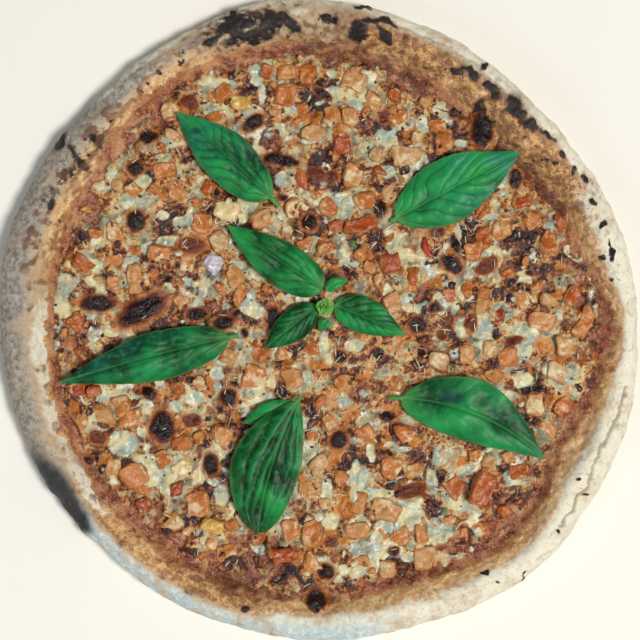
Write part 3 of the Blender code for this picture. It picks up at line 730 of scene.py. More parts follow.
def outline_of(node):
    """Middle, half-sizes and turn of a box-like CAD node, seen from above, in millimetres."""
    flat = points_of(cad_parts[node])[:, :2] / MM
    flat = np.unique(np.round(flat, 3), axis=0)
    middle = (flat.max(axis=0) + flat.min(axis=0)) / 2
    best = None
    for degrees in range(0, 90, 3):
        turn = math.radians(degrees)
        way = np.array([[math.cos(turn), math.sin(turn)], [-math.sin(turn), math.cos(turn)]])
        span = np.ptp(flat @ way.T, axis=0)
        if best is None or span.prod() < best[0]:
            best = (span.prod(), span, degrees)
    return (*middle, *best[1], best[2])


die_nodes = sorted(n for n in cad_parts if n.startswith("tomato_die"))
lone_nodes = [
    n for n in sorted(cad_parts)
    if n.startswith(("yellow_tomato", "tomato_round", "garlic", "onion"))
]
sunk = [outline_of(n) for n in die_nodes + lone_nodes] + [d[:5] for d in MORE_DICE]

cells = int(2 * BED_REACH / BED_STEP)
bed, across, along = sheet_of("melted_cheese", cells, cells)
points = np.column_stack([across * 2 - 1, along * 2 - 1, np.zeros(len(across))]) * BED_REACH
put_points(bed, points * MM)
with editing(bed, "DESELECT"):
    bpy.ops.mesh.select_mode(type="VERT")
reach_here = around(SAUCE_EDGE, np.degrees(np.arctan2(points[:, 1], points[:, 0]))) - SPARE
reach_here = reach_here + RIM_LAP * in_spots(points, AT_THE_RIM, 0.3)
outside = np.hypot(points[:, 0], points[:, 1]) > reach_here
bed.data.vertices.foreach_set("select", outside)
with editing(bed):
    bpy.ops.mesh.delete(type="VERT")
points = points_of(bed) / MM
flat = points[:, :2]
radius = np.hypot(*flat.T)
reach = around(SAUCE_EDGE, np.degrees(np.arctan2(flat[:, 1], flat[:, 0])))
bent = flat + 1.5 * np.column_stack([lumps(flat, 4.5, 31), lumps(flat, 4.5, 32)])
bent = bent + 0.6 * np.column_stack([lumps(flat, 1.8, 33), lumps(flat, 1.8, 34)])
firm = flat + 0.45 * (bent - flat)

coarse = lumps(flat, 13, 35)
mid = lumps(flat, 4.6, 36)
small = lumps(flat, 2.0, 37, 2)
folds = np.abs(lumps(firm, 11.0, 46, 2))
mounds = smooth(folds, 0.0, 0.34)
rim_gap = reach - radius + 3.6 * lumps(flat, 12, 38) + 1.8 * small
cover = smooth(rim_gap, 1.0, 7.0)
gaps = in_spots(bent, SAUCY_GAPS, 0.4)
gaps = np.maximum(gaps, 0.7 * smooth(lumps(flat, 9, 39), 0.35, 0.9))
cover = cover * (1 - gaps * smooth(0.6 + mid + 0.5 * small, 0.1, 0.8))
pools = in_spots(firm, POOLS, 0.4)
stray = smooth(lumps(flat, 8.5, 40, 2) + 0.15 * small, 0.26, 0.62) * cover
pools = np.clip(np.maximum(pools, 0.8 * stray * (1 - 0.7 * gaps)), 0, 1)
strings = (1 - smooth(folds, 0.03, 0.13)) * smooth(coarse + 0.5 * mid, -0.3, 0.4)
pools = np.maximum(pools, 0.75 * strings * cover * (1 - 0.7 * gaps))
dark = np.zeros(len(flat))
rise = np.zeros(len(flat))
halo = np.zeros(len(flat))
for spot in BLISTERS:
    away = in_spot(firm, spot)[1]
    dark = np.maximum(dark, 1 - smooth(away, 0.62, 1.22))
    rise = np.maximum(rise, spot[5] * np.clip(1.15 - away**2, 0, 1) ** 0.7)
    halo = np.maximum(halo, 1 - smooth(away, 1.0, 1.75))
rust = in_spots(bent, RUSTY_BLISTERS, 0.3)
meniscus = np.zeros(len(flat))
for x, y, length, width, degrees in sunk:
    near = np.abs(flat - (x, y)).max(axis=1) < max(length, width) / 2 + 8
    dx, dy = (flat[near] - (x, y)).T
    c, s = math.cos(math.radians(degrees)), math.sin(math.radians(degrees))
    u = np.abs(dx * c + dy * s) - length / 2
    v = np.abs(dy * c - dx * s) - width / 2
    gap = np.hypot(np.maximum(u, 0), np.maximum(v, 0))
    meniscus[near] = np.maximum(meniscus[near], 1 - smooth(gap, 0.0, 4.0))
pools = pools * (1 - dark)
heat = 0.50 + 0.36 * lumps(flat, 9.5, 47, 2) + 0.16 * mid + 0.12 * small + 0.22 * (mounds - 0.6)
heat = heat - 0.10 * meniscus
oily = smooth(lumps(flat, 8, 43) + 0.3 * mid, 0.2, 0.8)
level = FILM_LEVEL + BODY * cover
level = level + 0.5 * coarse * cover + 0.5 * mid * (1 - 0.6 * pools)
level = level + 1.3 * (mounds - 0.5) * cover * (1 - 0.4 * pools)
level = level + 0.42 * small * (1 - 0.75 * pools) + 0.5 * pools + 1.7 * meniscus * cover
level = level - 2.4 * (1 - smooth(rim_gap, -1.0, 4.0))
below = np.zeros(len(flat))
shallow = (halo > 0) & (rim_gap < 14)
below[shallow] = on_top(sauce_tree, flat[shallow])
level = np.maximum(level, (below - 0.6 + 1.2 * halo) * (below > 0))
level = level + rise * (1 + 0.12 * small) + 0.35 * halo * (1 - dark)
to_end = reach + RIM_LAP * in_spots(flat, AT_THE_RIM, 0.3) - SPARE - radius
level = level - (level - EDGE_LEVEL) * (1 - smooth(to_end, 0.9, 2.6))
points[:, 2] = level
put_points(bed, points * MM)
note(
    bed, cover=np.maximum(cover, halo), pools=pools, dark=dark, halo=halo * (1 - dark), rust=rust,
    # low: painted shade in the hollows of the cheese.
    browned=heat, oily=oily, low=smooth(mid + 0.7 * small, -0.1, -0.9) * (1 - pools),
)
with editing(bed, "DESELECT"):
    bpy.ops.mesh.select_non_manifold(extend=False, use_wire=False, use_multi_face=False)
    bpy.ops.mesh.extrude_region_move(TRANSFORM_OT_translate={"value": (0, 0, -0.4 * MM)})
    bpy.ops.mesh.edge_face_add()
bpy.ops.object.shade_smooth()

melt = Finish(
    "melted_mozzarella", (0.1, 3.0, 1.6, 0.8), Roughness=0.3, Specular_IOR_Level=0.42,
)
broad = melt.grain(8.5, 2.0, 0.5)
middle = melt.grain(3.4, 2.5, 0.5)
small = melt.grain(1.7, 3.0, 0.55)
fine = melt.grain(0.8, 3.0, 0.6)
threads = melt.grain(1.3, 3.0, 0.6, (1.0, 0.35, 1.0))
bake = melt.mark("browned") + (middle - 0.5) * 0.65 + (small - 0.5) * 0.75 + (fine - 0.5) * 0.5
film = melt.ramp(
    bake, (0.08, hue(166, 170, 146)), (0.24, hue(210, 196, 150)), (0.38, hue(202, 156, 92)),
    (0.51, hue(176, 106, 50)), (0.63, hue(108, 54, 34)), (0.80, hue(38, 16, 18)),
)
red = melt.mix(small.rise(0.36, 0.62), hue(96, 44, 30), hue(172, 106, 76))
film = melt.painted(
    film, ((melt.mark("oily") * (0.3 + 1.2 * broad)).rise(0.4, 0.85) * 0.7, hue(204, 122, 40)),
    # Painted shade: the low hollows are darkened.
    (melt.mark("low") * (0.2 + 0.8 * middle), hue(84, 46, 30)),
    (threads.rise(0.6, 0.7) * 0.45, hue(232, 214, 190)),
    ((1 - melt.mark("cover")).rise(0.25, 0.75) * 0.9, red),
)
milk_and_highlight = melt.painted(
    melt.mix(broad.rise(0.4, 0.6), hue(158, 172, 156), hue(216, 206, 156)),
    (threads.rise(0.55, 0.75) * 0.5, hue(196, 168, 130)),
    # Painted highlight: the brightest white flecks on the pools.
    (middle.rise(0.54, 0.66) * 0.65, hue(232, 236, 220)),
)
pool = melt.mark("pools") * (0.6 + 0.8 * middle) + (small - 0.5) * 0.6 + (fine - 0.5) * 0.2
pool = pool.rise(0.3, 0.85)
ring = (melt.mark("halo") * (0.5 + 0.9 * middle)).rise(0.2, 0.95)
crusted = (melt.mark("dark") + (middle - 0.5) * 0.3 + (fine - 0.5) * 0.1).rise(0.02, 0.5)
core = melt.mark("dark") - melt.mark("rust") * 0.45 + (small - 0.5) * 0.7
core = core.rise(0.3, 0.95)
colour = melt.painted(
    film, (pool * 0.94, milk_and_highlight),
    (ring * 0.8, melt.mix(middle.rise(0.4, 0.65), hue(142, 74, 28), hue(202, 130, 58))),
    (crusted, melt.mix(small, hue(92, 38, 20), hue(142, 66, 28))),
    (core, melt.mix(fine.rise(0.45, 0.75), hue(16, 6, 8), hue(72, 34, 30))),
)
relief = fine * 0.45 + small * 0.8 + middle * 0.8 + threads * 0.3
melt.feed(
    Base_Color=colour,
    Roughness=0.08 + 0.42 * (1 - small) * (1 - pool) * (1 - 0.6 * core) + 0.12 * fine,
    Normal=melt.bump(relief * (1 - 0.35 * pool), 0.85, 1.0),
)
melt.on(bed, "cheese")
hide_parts("cheese")

# ---------------------------------------------------------------------------------------
# Tomato. Ripe tomatoes cut by hand into dice of 8 to 12 mm, with a few yellow ones and round
# end slices. The oven has softened them, browned their edges and sunk them into the cheese.
SINK = 1.3           # how far the toppings sink below the top of the cheese, millimetres
SQUASH = 0.68        # how much of a raw die's height is left
CHEESE_TOP = 9.05    # the level that the counted toppings stand on
DICE_TOPS = 10.5     # the level above which their tops dish in
SCATTERED = 84       # how many of the smallest dice lie at random
SCATTER_REACH = 126  # how far from the middle they may lie
HALF_TURN = 3.1      # radians, the most that one is turned
ROUNDING = 2         # steps of Subdivision Surface that soften the cut pieces
chance = np.random.default_rng(11)
clear_spots = np.array([(b[0], b[1], max(b[2:4]) / 2) for b in BLISTERS] + [
    (p[0], p[1], 0.2 * (p[2] + p[3])) for p in POOLS
])
bed_tree = BVHTree.FromObject(bed, bpy.context.evaluated_depsgraph_get())
leaf_nodes = [n for n in sorted(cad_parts) if n.startswith("basil")]


def shade_of_leaves():
    """A tree of all the leaves' faces, to tell what lies beneath a leaf."""
    corners, faces = [], []
    for node in leaf_nodes:
        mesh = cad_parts[node].data
        faces += [[len(corners) + k for k in face.vertices] for face in mesh.polygons]
        corners += [v.co for v in mesh.vertices]
    return BVHTree.FromPolygons(corners, faces)


leaf_tree = shade_of_leaves()


def under_leaf(x, y, spread=3.5):
    """Whether a leaf covers a place in millimetres or comes close to it."""
    for dx, dy in ((0, 0), (spread, 0), (-spread, 0), (0, spread), (0, -spread)):
        start = Vector(((x + dx) * MM, (y + dy) * MM, ABOVE))
        if leaf_tree.ray_cast(start, DOWN)[0]:
            return True
    return False


def kept_clear(x, y, spare=0.0):
    """Whether a place in millimetres lies on one of the cheese's blisters or white pools."""
    reach = clear_spots[:, 2] + spare
    return (np.hypot(clear_spots[:, 0] - x, clear_spots[:, 1] - y) < reach).any()


def joined(name, parts):
    """Joins parts into one piece with its place in its mesh."""
    alone(parts[0])
    for part in parts:
        part.select_set(True)
    bpy.ops.object.join()
    whole = bpy.context.object
    whole.name = name
    whole.data.name = name
    bpy.ops.object.transform_apply(location=True, rotation=True, scale=True)
    return whole


def copies_of_nodes(name, nodes, tones):
    """Merged copies of CAD nodes in one piece, each with its own tone."""
    parts = []
    for node, tone in zip(nodes, tones):
        part = bpy.data.objects.new(node + "_soft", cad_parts[node].data.copy())
        bpy.context.scene.collection.objects.link(part)
        part.data.materials.clear()
        alone(part)
        bpy.ops.mesh.customdata_custom_splitnormals_clear()
        note(part, tone=np.full(len(part.data.vertices), tone))
        parts.append(part)
    whole = joined(name, parts)
    with editing(whole, "SELECT"):
        bpy.ops.mesh.remove_doubles(threshold=0.5 * MERGED)
        bpy.ops.mesh.tris_convert_to_quads(face_threshold=0.2, shape_threshold=3.0)
    modified(whole, "SUBSURF", levels=ROUNDING)
    return whole


def baked(obj, seed, floor=None):
    """Swells and dents pieces as the oven does, and sinks those that stand on a floor."""
    points = points_of(obj) / MM
    if floor is not None:
        points[:, 2] = floor - SINK + (points[:, 2] - floor) * SQUASH
    skew = np.column_stack([lumps(points, 8.5, seed + 7 + k, 1) for k in range(3)])
    dents = np.column_stack([lumps(points, 3.6, seed + k, 2) for k in range(3)])
    fine = lumps(points, 1.5, seed + 5, 2)
    points = points + skew * (1.1, 1.1, 0.5) + dents * (0.7, 0.7, 0.85)
    points = points + np.column_stack([fine * 0.16] * 2 + [fine * 0.36])
    put_points(obj, points * MM)
    alone(obj)
    bpy.ops.object.shade_smooth()
    return points


def rimmed(obj, points, outlines, dish):
    """Notes how near each point is to its die's edge, and dishes the collapsed tops a little."""
    middles = np.array([o[:2] for o in outlines])
    nearest = ((points[:, None, :2] - middles[None]) ** 2).sum(axis=2).argmin(axis=1)
    x, y, length, width, degrees = np.array([o[:5] for o in outlines], float)[nearest].T
    turn = np.radians(degrees)
    dx, dy = points[:, 0] - x, points[:, 1] - y
    u = np.abs(dx * np.cos(turn) + dy * np.sin(turn)) / (length / 2)
    v = np.abs(dy * np.cos(turn) - dx * np.sin(turn)) / (width / 2)
    edge = np.clip(np.maximum(u, v), 0, 1.2)
    middle = points[:, 2] > DICE_TOPS
    points[:, 2] -= dish * (1 - smooth(edge, 0.1, 0.8)) * middle
    put_points(obj, points * MM)
    note(obj, edge=smooth(edge, 0.62, 1.0))


tones = np.clip(0.42 + 0.24 * chance.standard_normal(len(die_nodes)), 0.05, 1.0)
KNOWN_TONES = {27: 0.85, 32: 0.95, 26: 0.8, 18: 0.75, 6: 0.25, 19: 0.35, 29: 0.3}
for number, tone in KNOWN_TONES.items():
    tones[number - 1] = tone
dice = copies_of_nodes("tomato_dice", die_nodes, tones)
rimmed(dice, baked(dice, 51, CHEESE_TOP), sunk[:len(die_nodes)], 0.7)

raw_die = started(bpy.ops.mesh.primitive_cube_add, size=1.0)
modified(raw_die, "BEVEL", width=0.14, segments=1)
modified(raw_die, "SUBSURF", levels=ROUNDING)


def laid(master, x, y, sink, size, turn, tilt, tone):
    """A copy of a raw piece at its place on the cheese, with its own mesh, size and tone."""
    part = bpy.data.objects.new(master.name, master.data.copy())
    bpy.context.scene.collection.objects.link(part)
    hit = bed_tree.ray_cast(Vector((x * MM, y * MM, ABOVE)), DOWN)[0]
    part.rotation_euler = Euler((tilt[0], tilt[1], turn))
    part.scale = [side * MM for side in size]
    part.location = (x * MM, y * MM, (hit.z if hit else 8.0 * MM) + (size[2] / 2 - sink) * MM)
    note(part, tone=np.full(len(part.data.vertices), tone))
    return part


parts = []
more_outlines = [d[:5] for d in MORE_DICE]
laid_down = [(x, y, max(length, width)) for x, y, length, width, _ in sunk]
for x, y, length, width, degrees, tone in MORE_DICE:
    tilt = 0.12 * chance.standard_normal(2)
    size = (length, width, 4.6 + 0.8 * chance.random())
    parts.append(laid(raw_die, x, y, 3.1, size, math.radians(degrees), tilt, tone))
wanted = SCATTERED
while wanted:
    far, way = SCATTER_REACH * math.sqrt(chance.random()), 2 * math.pi * chance.random()
    x, y = far * math.cos(way), far * math.sin(way)
    size = 5.2 + 3.6 * chance.random()
    free = all(math.hypot(x - a, y - b) > 0.44 * (size + c) + 0.8 for a, b, c in laid_down)
    reach_here = around(SAUCE_EDGE, [math.degrees(way)])[0] - 9
    draw = chance.random(4)
    if not free or far > reach_here or under_leaf(x, y) or kept_clear(x, y, 2.5):
        continue
    laid_down.append((x, y, size))
    tone = min(1.0, max(0.0, 0.15 + 0.75 * draw[0]))
    sides = (size, size * (0.7 + 0.4 * draw[1]), 3.4 + 1.2 * draw[2])
    tilt = 0.16 * chance.standard_normal(2)
    turn = HALF_TURN * draw[3]
    parts.append(laid(raw_die, x, y, 2.0, sides, turn, tilt, tone))
    more_outlines.append((x, y, sides[0], sides[1], math.degrees(turn)))
    wanted -= 1
more_dice = joined("smaller_tomato_dice", parts)
rimmed(more_dice, baked(more_dice, 61), more_outlines, 0.5)

flesh = Finish(
    "soft_baked_tomato", (0.25, 3.0, 1.2, 0.5), Roughness=0.25, Specular_IOR_Level=0.4,
)
broad = flesh.grain(5.0, 3.0, 0.5)
middle = flesh.grain(2.1, 3.0, 0.55)
fine = flesh.grain(0.8, 3.0, 0.6)
tone = flesh.mark("tone") + (broad - 0.5) * 0.7
colour = flesh.ramp(
    tone, (0.0, hue(190, 160, 116)), (0.28, hue(191, 141, 87)), (0.52, hue(191, 119, 57)),
    (0.78, hue(171, 86, 26)), (1.0, hue(150, 54, 14)),
)
creep = flesh.grain(8.5, 2.0, 0.5) + (middle - 0.5) * 0.35
creep = creep.rise(0.56, 0.68) * (1 - flesh.mark("tone")).rise(0.05, 0.5) * 0.85
skin = (flesh.mark("edge") * (0.2 + 1.1 * broad) + (middle - 0.5) * 0.7).rise(0.3, 0.8)
film = flesh.ramp(
    flesh.grain(9.5, 3.0, 0.6) + (fine - 0.5) * 0.4, (0.3, hue(206, 190, 142)),
    (0.42, hue(196, 146, 82)), (0.56, hue(164, 92, 38)), (0.75, hue(84, 40, 24)),
)
colour = flesh.painted(
    colour, (middle.rise(0.54, 0.7) * 0.4, hue(236, 190, 132)),
    ((1 - middle).rise(0.54, 0.7) * 0.45, hue(168, 88, 36)),
    (creep, flesh.mix(middle, hue(196, 164, 112), hue(230, 216, 174))),
    (skin * 0.85, film), ((1 - fine).rise(0.6, 0.72) * 0.4, hue(120, 60, 30)),
)
flesh.feed(
    Base_Color=colour, Roughness=0.06 + 0.3 * middle,
    Normal=flesh.bump(middle + fine * 0.5, 0.55, 0.9),
)
flesh.on(dice, "tomato")
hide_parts(*die_nodes)
flesh.on(more_dice, "tomato")

round_nodes = [f"tomato_round_{k}" for k in (1, 2, 3, 4)]
rounds = copies_of_nodes("tomato_rounds", round_nodes, (0.25, 0.5, 0.6, 0.55))
rimmed(rounds, baked(rounds, 71, CHEESE_TOP), [outline_of(n) for n in round_nodes], 0.6)
flesh.on(rounds, "tomato")
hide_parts(*round_nodes)


def pale_flesh(name, dark, mid, light, roughness):
    """The finish of a pale, wet vegetable, with darker specks."""
    finish = Finish(name, (0.35, 4.0, 2.2, 1.0), Roughness=roughness)
    middle = finish.grain(2.0, 4.0, 0.6)
    fine = finish.grain(0.7, 3.0, 0.6)
    colour = finish.mix(middle.rise(0.35, 0.65), mid, light)
    colour = finish.mix((1 - fine).rise(0.56, 0.72) * 0.7, colour, dark)
    finish.feed(
        Base_Color=colour, Roughness=roughness + 0.25 * (middle - 0.5),
        Normal=finish.bump(middle + fine * 0.5, 0.35, 0.6),
    )
    return finish


# Two yellow dice, a whole small clove of garlic and a round slice of one, and a bead of onion.
# All are soft and a little see-through.
PALE_PIECES = (
    # piece, its CAD nodes, seed, slot, finish, dark, middle and light tones, roughness
    ("yellow_tomato_dice", ("yellow_tomato_die_1", "yellow_tomato_die_2"), 75, "yellow_tomato",
     "yellow_tomato_flesh", hue(130, 88, 34), hue(196, 146, 62), hue(220, 184, 104), 0.3),
    ("garlic_pieces", ("garlic_clove", "garlic_slice"), 77, "garlic",
     "soft_garlic", hue(150, 100, 56), hue(206, 178, 124), hue(228, 208, 162), 0.3),
    ("onion_bead_soft", ("onion_bead",), 79, "onion",
     "soft_onion", hue(120, 96, 116), hue(176, 168, 184), hue(222, 214, 222), 0.2),
)
for name, nodes, seed, slot, *look in PALE_PIECES:
    piece = copies_of_nodes(name, nodes, (0,) * len(nodes))
    baked(piece, seed, CHEESE_TOP)
    pale_flesh(*look).on(piece, slot)
    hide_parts(*nodes)

# ---------------------------------------------------------------------------------------
# Crumbs. Small soft bits of tomato pulp and browned nubs of cheese, which lie all over the
# pizza between the dice. Each is one lumpy grain, copied and turned.
CRUMB_REACH = 132    # how far from the middle crumbs, shreds and flakes may lie
FULL_TURN = 6.28     # radians, the most that one is turned
grain_of_food = started(bpy.ops.mesh.primitive_ico_sphere_add, subdivisions=2, radius=0.5)
points = points_of(grain_of_food)
points = points * (1 + 0.22 * lumps(points, 0.45, 81, 1))[:, None]
put_points(grain_of_food, points)


def in_cheese(margin):
    """A random place on the cheese, at least a margin inside the edge of the sauce."""
    while True:
        way = 2 * math.pi * chance.random()
        far = CRUMB_REACH * math.sqrt(chance.random())
        if far < around(SAUCE_EDGE, [math.degrees(way)])[0] - margin:
            return far * math.cos(way), far * math.sin(way)


def sprinkled(name, master, count, margin, sink, sizes, flat=1.0, lean=0.5):
    """Many copies of one master over the cheese, of random size, turn and tone, as one piece."""
    parts = []
    while len(parts) < count:
        x, y = in_cheese(margin)
        share, tone, turn, side = chance.random(4)
        tilt = lean * chance.standard_normal(2)
        if under_leaf(x, y, 1.0) or kept_clear(x, y):
            continue
        size = sizes[0] + (sizes[1] - sizes[0]) * share**1.6
        shape = (size * (1.0 + 0.5 * side), size, size * flat)
        parts.append(laid(master, x, y, sink * size, shape, FULL_TURN * turn, tilt, tone))
    return joined(name, parts)


crumbs = sprinkled("pulp_crumbs", grain_of_food, 420, 3.0, 0.4, (1.5, 4.2), 0.6)
baked(crumbs, 83)
pulp_bits = Finish("crumbs_of_pulp_and_cheese", (0.25, 3.0, 1.4, 0.7), Roughness=0.35)
middle = pulp_bits.grain(1.6, 4.0, 0.6)
tone = pulp_bits.mark("tone")
colour = pulp_bits.ramp(
    tone + (middle - 0.5) * 0.35, (0.0, hue(60, 28, 20)), (0.3, hue(118, 60, 30)),
    (0.55, hue(178, 98, 40)), (0.72, hue(196, 136, 72)), (0.88, hue(206, 172, 118)),
    (1.0, hue(216, 202, 160)),
)
pulp_bits.feed(
    Base_Color=colour, Roughness=0.25 + 0.3 * middle, Normal=pulp_bits.bump(middle, 0.4, 0.7)
)
pulp_bits.on(crumbs, "browned_cheese")

# ---------------------------------------------------------------------------------------
# Grated cheese and dry seasoning. Thin shreds of hard cheese, rubbed oregano, ground black
# pepper and charred crumbs, thrown on last. Each kind is one piece.
rod = bpy.ops.mesh.primitive_cylinder_add
shred = started(rod, vertices=5, radius=0.5, depth=1.0, rotation=(0, math.pi / 2, 0))
bpy.ops.object.transform_apply(location=False, rotation=True, scale=False)
with editing(shred, "SELECT"):
    for cut in (-0.3, -0.1, 0.1, 0.3):
        bpy.ops.mesh.bisect(plane_co=(cut, 0, 0), plane_no=(1, 0, 0))
        bpy.ops.mesh.select_all(action="SELECT")
points = points_of(shred)
taper = 1 - 0.7 * np.abs(2 * points[:, 0]) ** 3
points[:, 1] = points[:, 1] * taper + 0.9 * (points[:, 0] ** 2 - 0.1)
points[:, 2] = points[:, 2] * taper + 1.2 * (0.1 - points[:, 0] ** 2)
put_points(shred, points)


def thrown(name, master, count, margin, lengths, thickness, lift, lean, bunches=()):
    """Thin copies of one master thrown over the pizza, denser in some round bunches."""
    parts = []
    while len(parts) < count:
        x, y = in_cheese(margin)
        share, tone, turn, pull = chance.random(4)
        if bunches and pull < 0.6:
            bx, by, reach = bunches[int(share * 997) % len(bunches)]
            x, y = (bx, by) + reach * 0.5 * chance.standard_normal(2)
        tilt = lean * chance.standard_normal(2)
        if under_leaf(x, y, 1.5):
            continue
        length = lengths[0] + (lengths[1] - lengths[0]) * share
        thin = thickness * (0.7 + 0.6 * tone)
        turn = FULL_TURN * turn
        parts.append(laid(master, x, y, -lift, (length, thin, thin), turn, tilt, tone))
    return joined(name, parts)


shreds = thrown(
    "grated_cheese_shreds", shred, 520, 8.0, (2.2, 5.6), 0.42, 0.15, 0.16,
    ((5, -25, 34), (20, 50, 30), (60, -20, 34), (-55, 60, 34), (-20, -60, 26), (70, 55, 26)),
)
alone(shreds)
bpy.ops.object.shade_smooth()
hard_cheese = Finish("grated_hard_cheese", (0.3, 2.0, 1.4, 0.8), Roughness=0.42)
fine = hard_cheese.grain(0.9, 2.0, 0.5)
tone = hard_cheese.mark("tone")
colour = hard_cheese.mix(tone, hue(196, 156, 104), hue(240, 226, 190))
colour = hard_cheese.mix(fine.rise(0.5, 0.8) * 0.5, colour, hue(176, 124, 74))
hard_cheese.feed(Base_Color=colour, Roughness=0.35 + 0.2 * fine)
hard_cheese.on(shreds, "cheese")

disc = bpy.ops.mesh.primitive_circle_add
flake = started(disc, vertices=6, radius=0.5, fill_type="TRIFAN")
flake.data.vertices[0].co.z += 0.06
flake.data.vertices[2].co *= 0.7
flake.data.vertices[5].co.z += 0.25
modified(flake, "SOLIDIFY", thickness=0.08)
oregano = sprinkled("oregano_flakes", flake, 420, 3.0, -0.05, (0.7, 1.9), 0.8, 0.4)
dry_herb = Finish("dried_oregano", Roughness=0.75)
tone = dry_herb.mark("tone")
fine = dry_herb.grain(0.6, 2.0, 0.5)
colour = dry_herb.mix(tone, hue(58, 50, 32), hue(134, 122, 84))
colour = dry_herb.mix(fine * 0.5, colour, hue(84, 84, 52))
dry_herb.feed(Base_Color=colour, Roughness=0.65 + 0.2 * fine)
dry_herb.on(oregano, "seasoning")

peppercorn_bit = started(bpy.ops.mesh.primitive_ico_sphere_add, subdivisions=1, radius=0.5)
points = points_of(peppercorn_bit)
put_points(peppercorn_bit, points * (1 + 0.35 * lumps(points, 0.5, 85, 1))[:, None])
pepper = sprinkled("pepper_and_char", peppercorn_bit, 330, 2.0, 0.2, (0.45, 1.7), 0.7, 0.5)
black = Finish("black_pepper", Roughness=0.6)
fine = black.grain(0.5, 2.0, 0.5)
black.feed(
    Base_Color=black.mix(fine, hue(20, 17, 18), hue(64, 48, 40)), Roughness=0.5 + 0.3 * fine
)
black.on(pepper, "seasoning")

# One curled chilli flake and four torn bits of green herb.
chilli = laid(shred, 50.9, 33.0, -0.6, (11.5, 2.8, 1.4), -1.1, (0.1, 0.0), 0.5)
chilli = joined("chilli_flake", [chilli])
baked(chilli, 87)
red_skin = Finish("dried_chilli", Roughness=0.3)
fine = red_skin.grain(0.9, 3.0, 0.6)
red_skin.feed(
    Base_Color=red_skin.mix(fine.rise(0.35, 0.65), hue(140, 30, 20), hue(214, 78, 58)),
    Roughness=0.2 + 0.3 * fine,
)
red_skin.on(chilli, "seasoning")
herbs = joined("torn_herb_bits", [
    laid(grain_of_food, x, y, 0.3, (long, wide, 1.6), turn, (0.2, 0.1), 0.5)
    for x, y, long, wide, turn in (
        (15.5, 35.5, 6.0, 4.0, 1.3), (79.0, -62.5, 7.0, 5.0, 0.4), (58.0, -90.0, 4.0, 2.6, 0.8),
        (-49.5, 119.0, 3.0, 2.4, 0.2),
    )
])
baked(herbs, 89)
torn = Finish("torn_herb", Roughness=0.5)
middle = torn.grain(1.4, 3.0, 0.6)
torn.feed(
    Base_Color=torn.mix(middle.rise(0.35, 0.65), hue(34, 66, 40), hue(104, 136, 84)),
    Roughness=0.4 + 0.3 * middle, Normal=torn.bump(middle, 0.3, 0.8),
)
torn.on(herbs, "seasoning")
for master in (raw_die, grain_of_food, shred, flake, peppercorn_bit):
    bpy.data.objects.remove(master, do_unlink=True)

# ---------------------------------------------------------------------------------------
# Basil. Large fresh leaves laid on after baking: glossy, deep green, puffed between their
# sunken veins, with a fold along the midrib and a pale thin edge.
BLADE_THICKNESS = 0.45
BUD_THICKNESS = 0.35
BRUISES = ((62, -36, 11, 5, -8), (-58, 88, 5, 3))
LEAVES = {
    # name: base, tip, bow to the left, half-widths left and right, widest, bluntness, heights
    # at base, middle and tip, stalk, folds of the left and right half, tone, veins, pleats
    "basil_upper_left": (
        (-19, 53), (-67, 97), -1, 13.0, 11.0, 0.42, 1.0, (10.8, 14.5, 11.5),
        6, 1.8, 0.6, 0.50, 0.9, 0.3),
    "basil_upper_right": (
        (33, 46), (93, 78), 0, 14.5, 14.5, 0.44, 1.0, (11.0, 14.5, 17.2),
        3, 1.2, 1.4, 0.95, 1.0, 0.0),
    "basil_left": (
        (-38, -7), (-122, -29.5), -1, 12.0, 10.8, 0.40, 1.1, (11.4, 15.0, 12.8),
        5, 2.4, 1.0, 0.18, 0.5, 0.0),
    "basil_bottom": (
        (-9, -35), (-29, -99), -3, 13.0, 18.5, 0.55, 0.55, (13.8, 16.5, 12.8),
        3, 1.2, 2.2, 0.30, 0.35, 1.0),
    "basil_bottom_lobe": (
        (-13, -37.5), (-36, -48), 1, 4.8, 5.2, 0.45, 1.0, (11.0, 13.0, 11.0),
        2, 0.6, 0.6, 0.6, 0.5, 0.0),
    "basil_lower_right": (
        (32, -36.5), (105, -65), 8, 15.0, 14.0, 0.43, 1.0, (11.0, 14.5, 12.0),
        6, 1.0, 1.8, 0.65, 0.3, 0.0),
    "basil_sprig_left": (
        (1, 14.5), (-43, 44), 0, 11.5, 9.8, 0.36, 0.9, (14.4, 16.5, 14.2),
        0, 2.2, 0.8, 0.40, 0.6, 0.3),
    "basil_sprig_right": (
        (7, 7), (40, -7), 0, 9.5, 7.5, 0.38, 1.0, (13.4, 14.5, 11.4),
        0, 0.8, 1.6, 0.80, 0.9, 0.0),
    "basil_sprig_lower": (
        (-1.5, 6.5), (-26, -13.5), 0, 7.3, 7.2, 0.42, 1.0, (11.4, 13.5, 11.2),
        0, 1.4, 0.6, 0.04, 0.7, 0.0),
    "basil_bud_upper": (
        (3, 14), (13, 18.5), 1, 2.8, 2.8, 0.4, 1.0, (16.5, 17.5, 15.0),
        0, 0.3, 0.3, 0.8, 0.3, 0.0),
    "basil_bud_lower": (
        (3.5, 0.5), (-0.5, -5), 0, 2.8, 2.8, 0.4, 1.0, (12.8, 13.0, 10.9),
        0, 0.3, 0.3, 0.7, 0.3, 0.0),
}
# Painted light: one half of each leaf is lightened, or darkened where negative, as if it faced the
# lamp or turned away.
PAINTED_LIT_HALF = {    # how much lighter the left half is than the right one
    "basil_sprig_left": 0.8, "basil_left": 0.45, "basil_upper_right": 0.5, "basil_bottom": 0.4,
    "basil_lower_right": -0.2, "basil_upper_left": 0.2, "basil_sprig_right": -0.3,
}
# Painted reflection: a bluish sky sheen laid on the light parts of some leaves.
SKY_SHEEN = {          # how much bluer its light parts are
    "basil_upper_right": 1.0, "basil_upper_left": 0.6, "basil_left": 0.5,
    "basil_lower_right": 0.3,
}


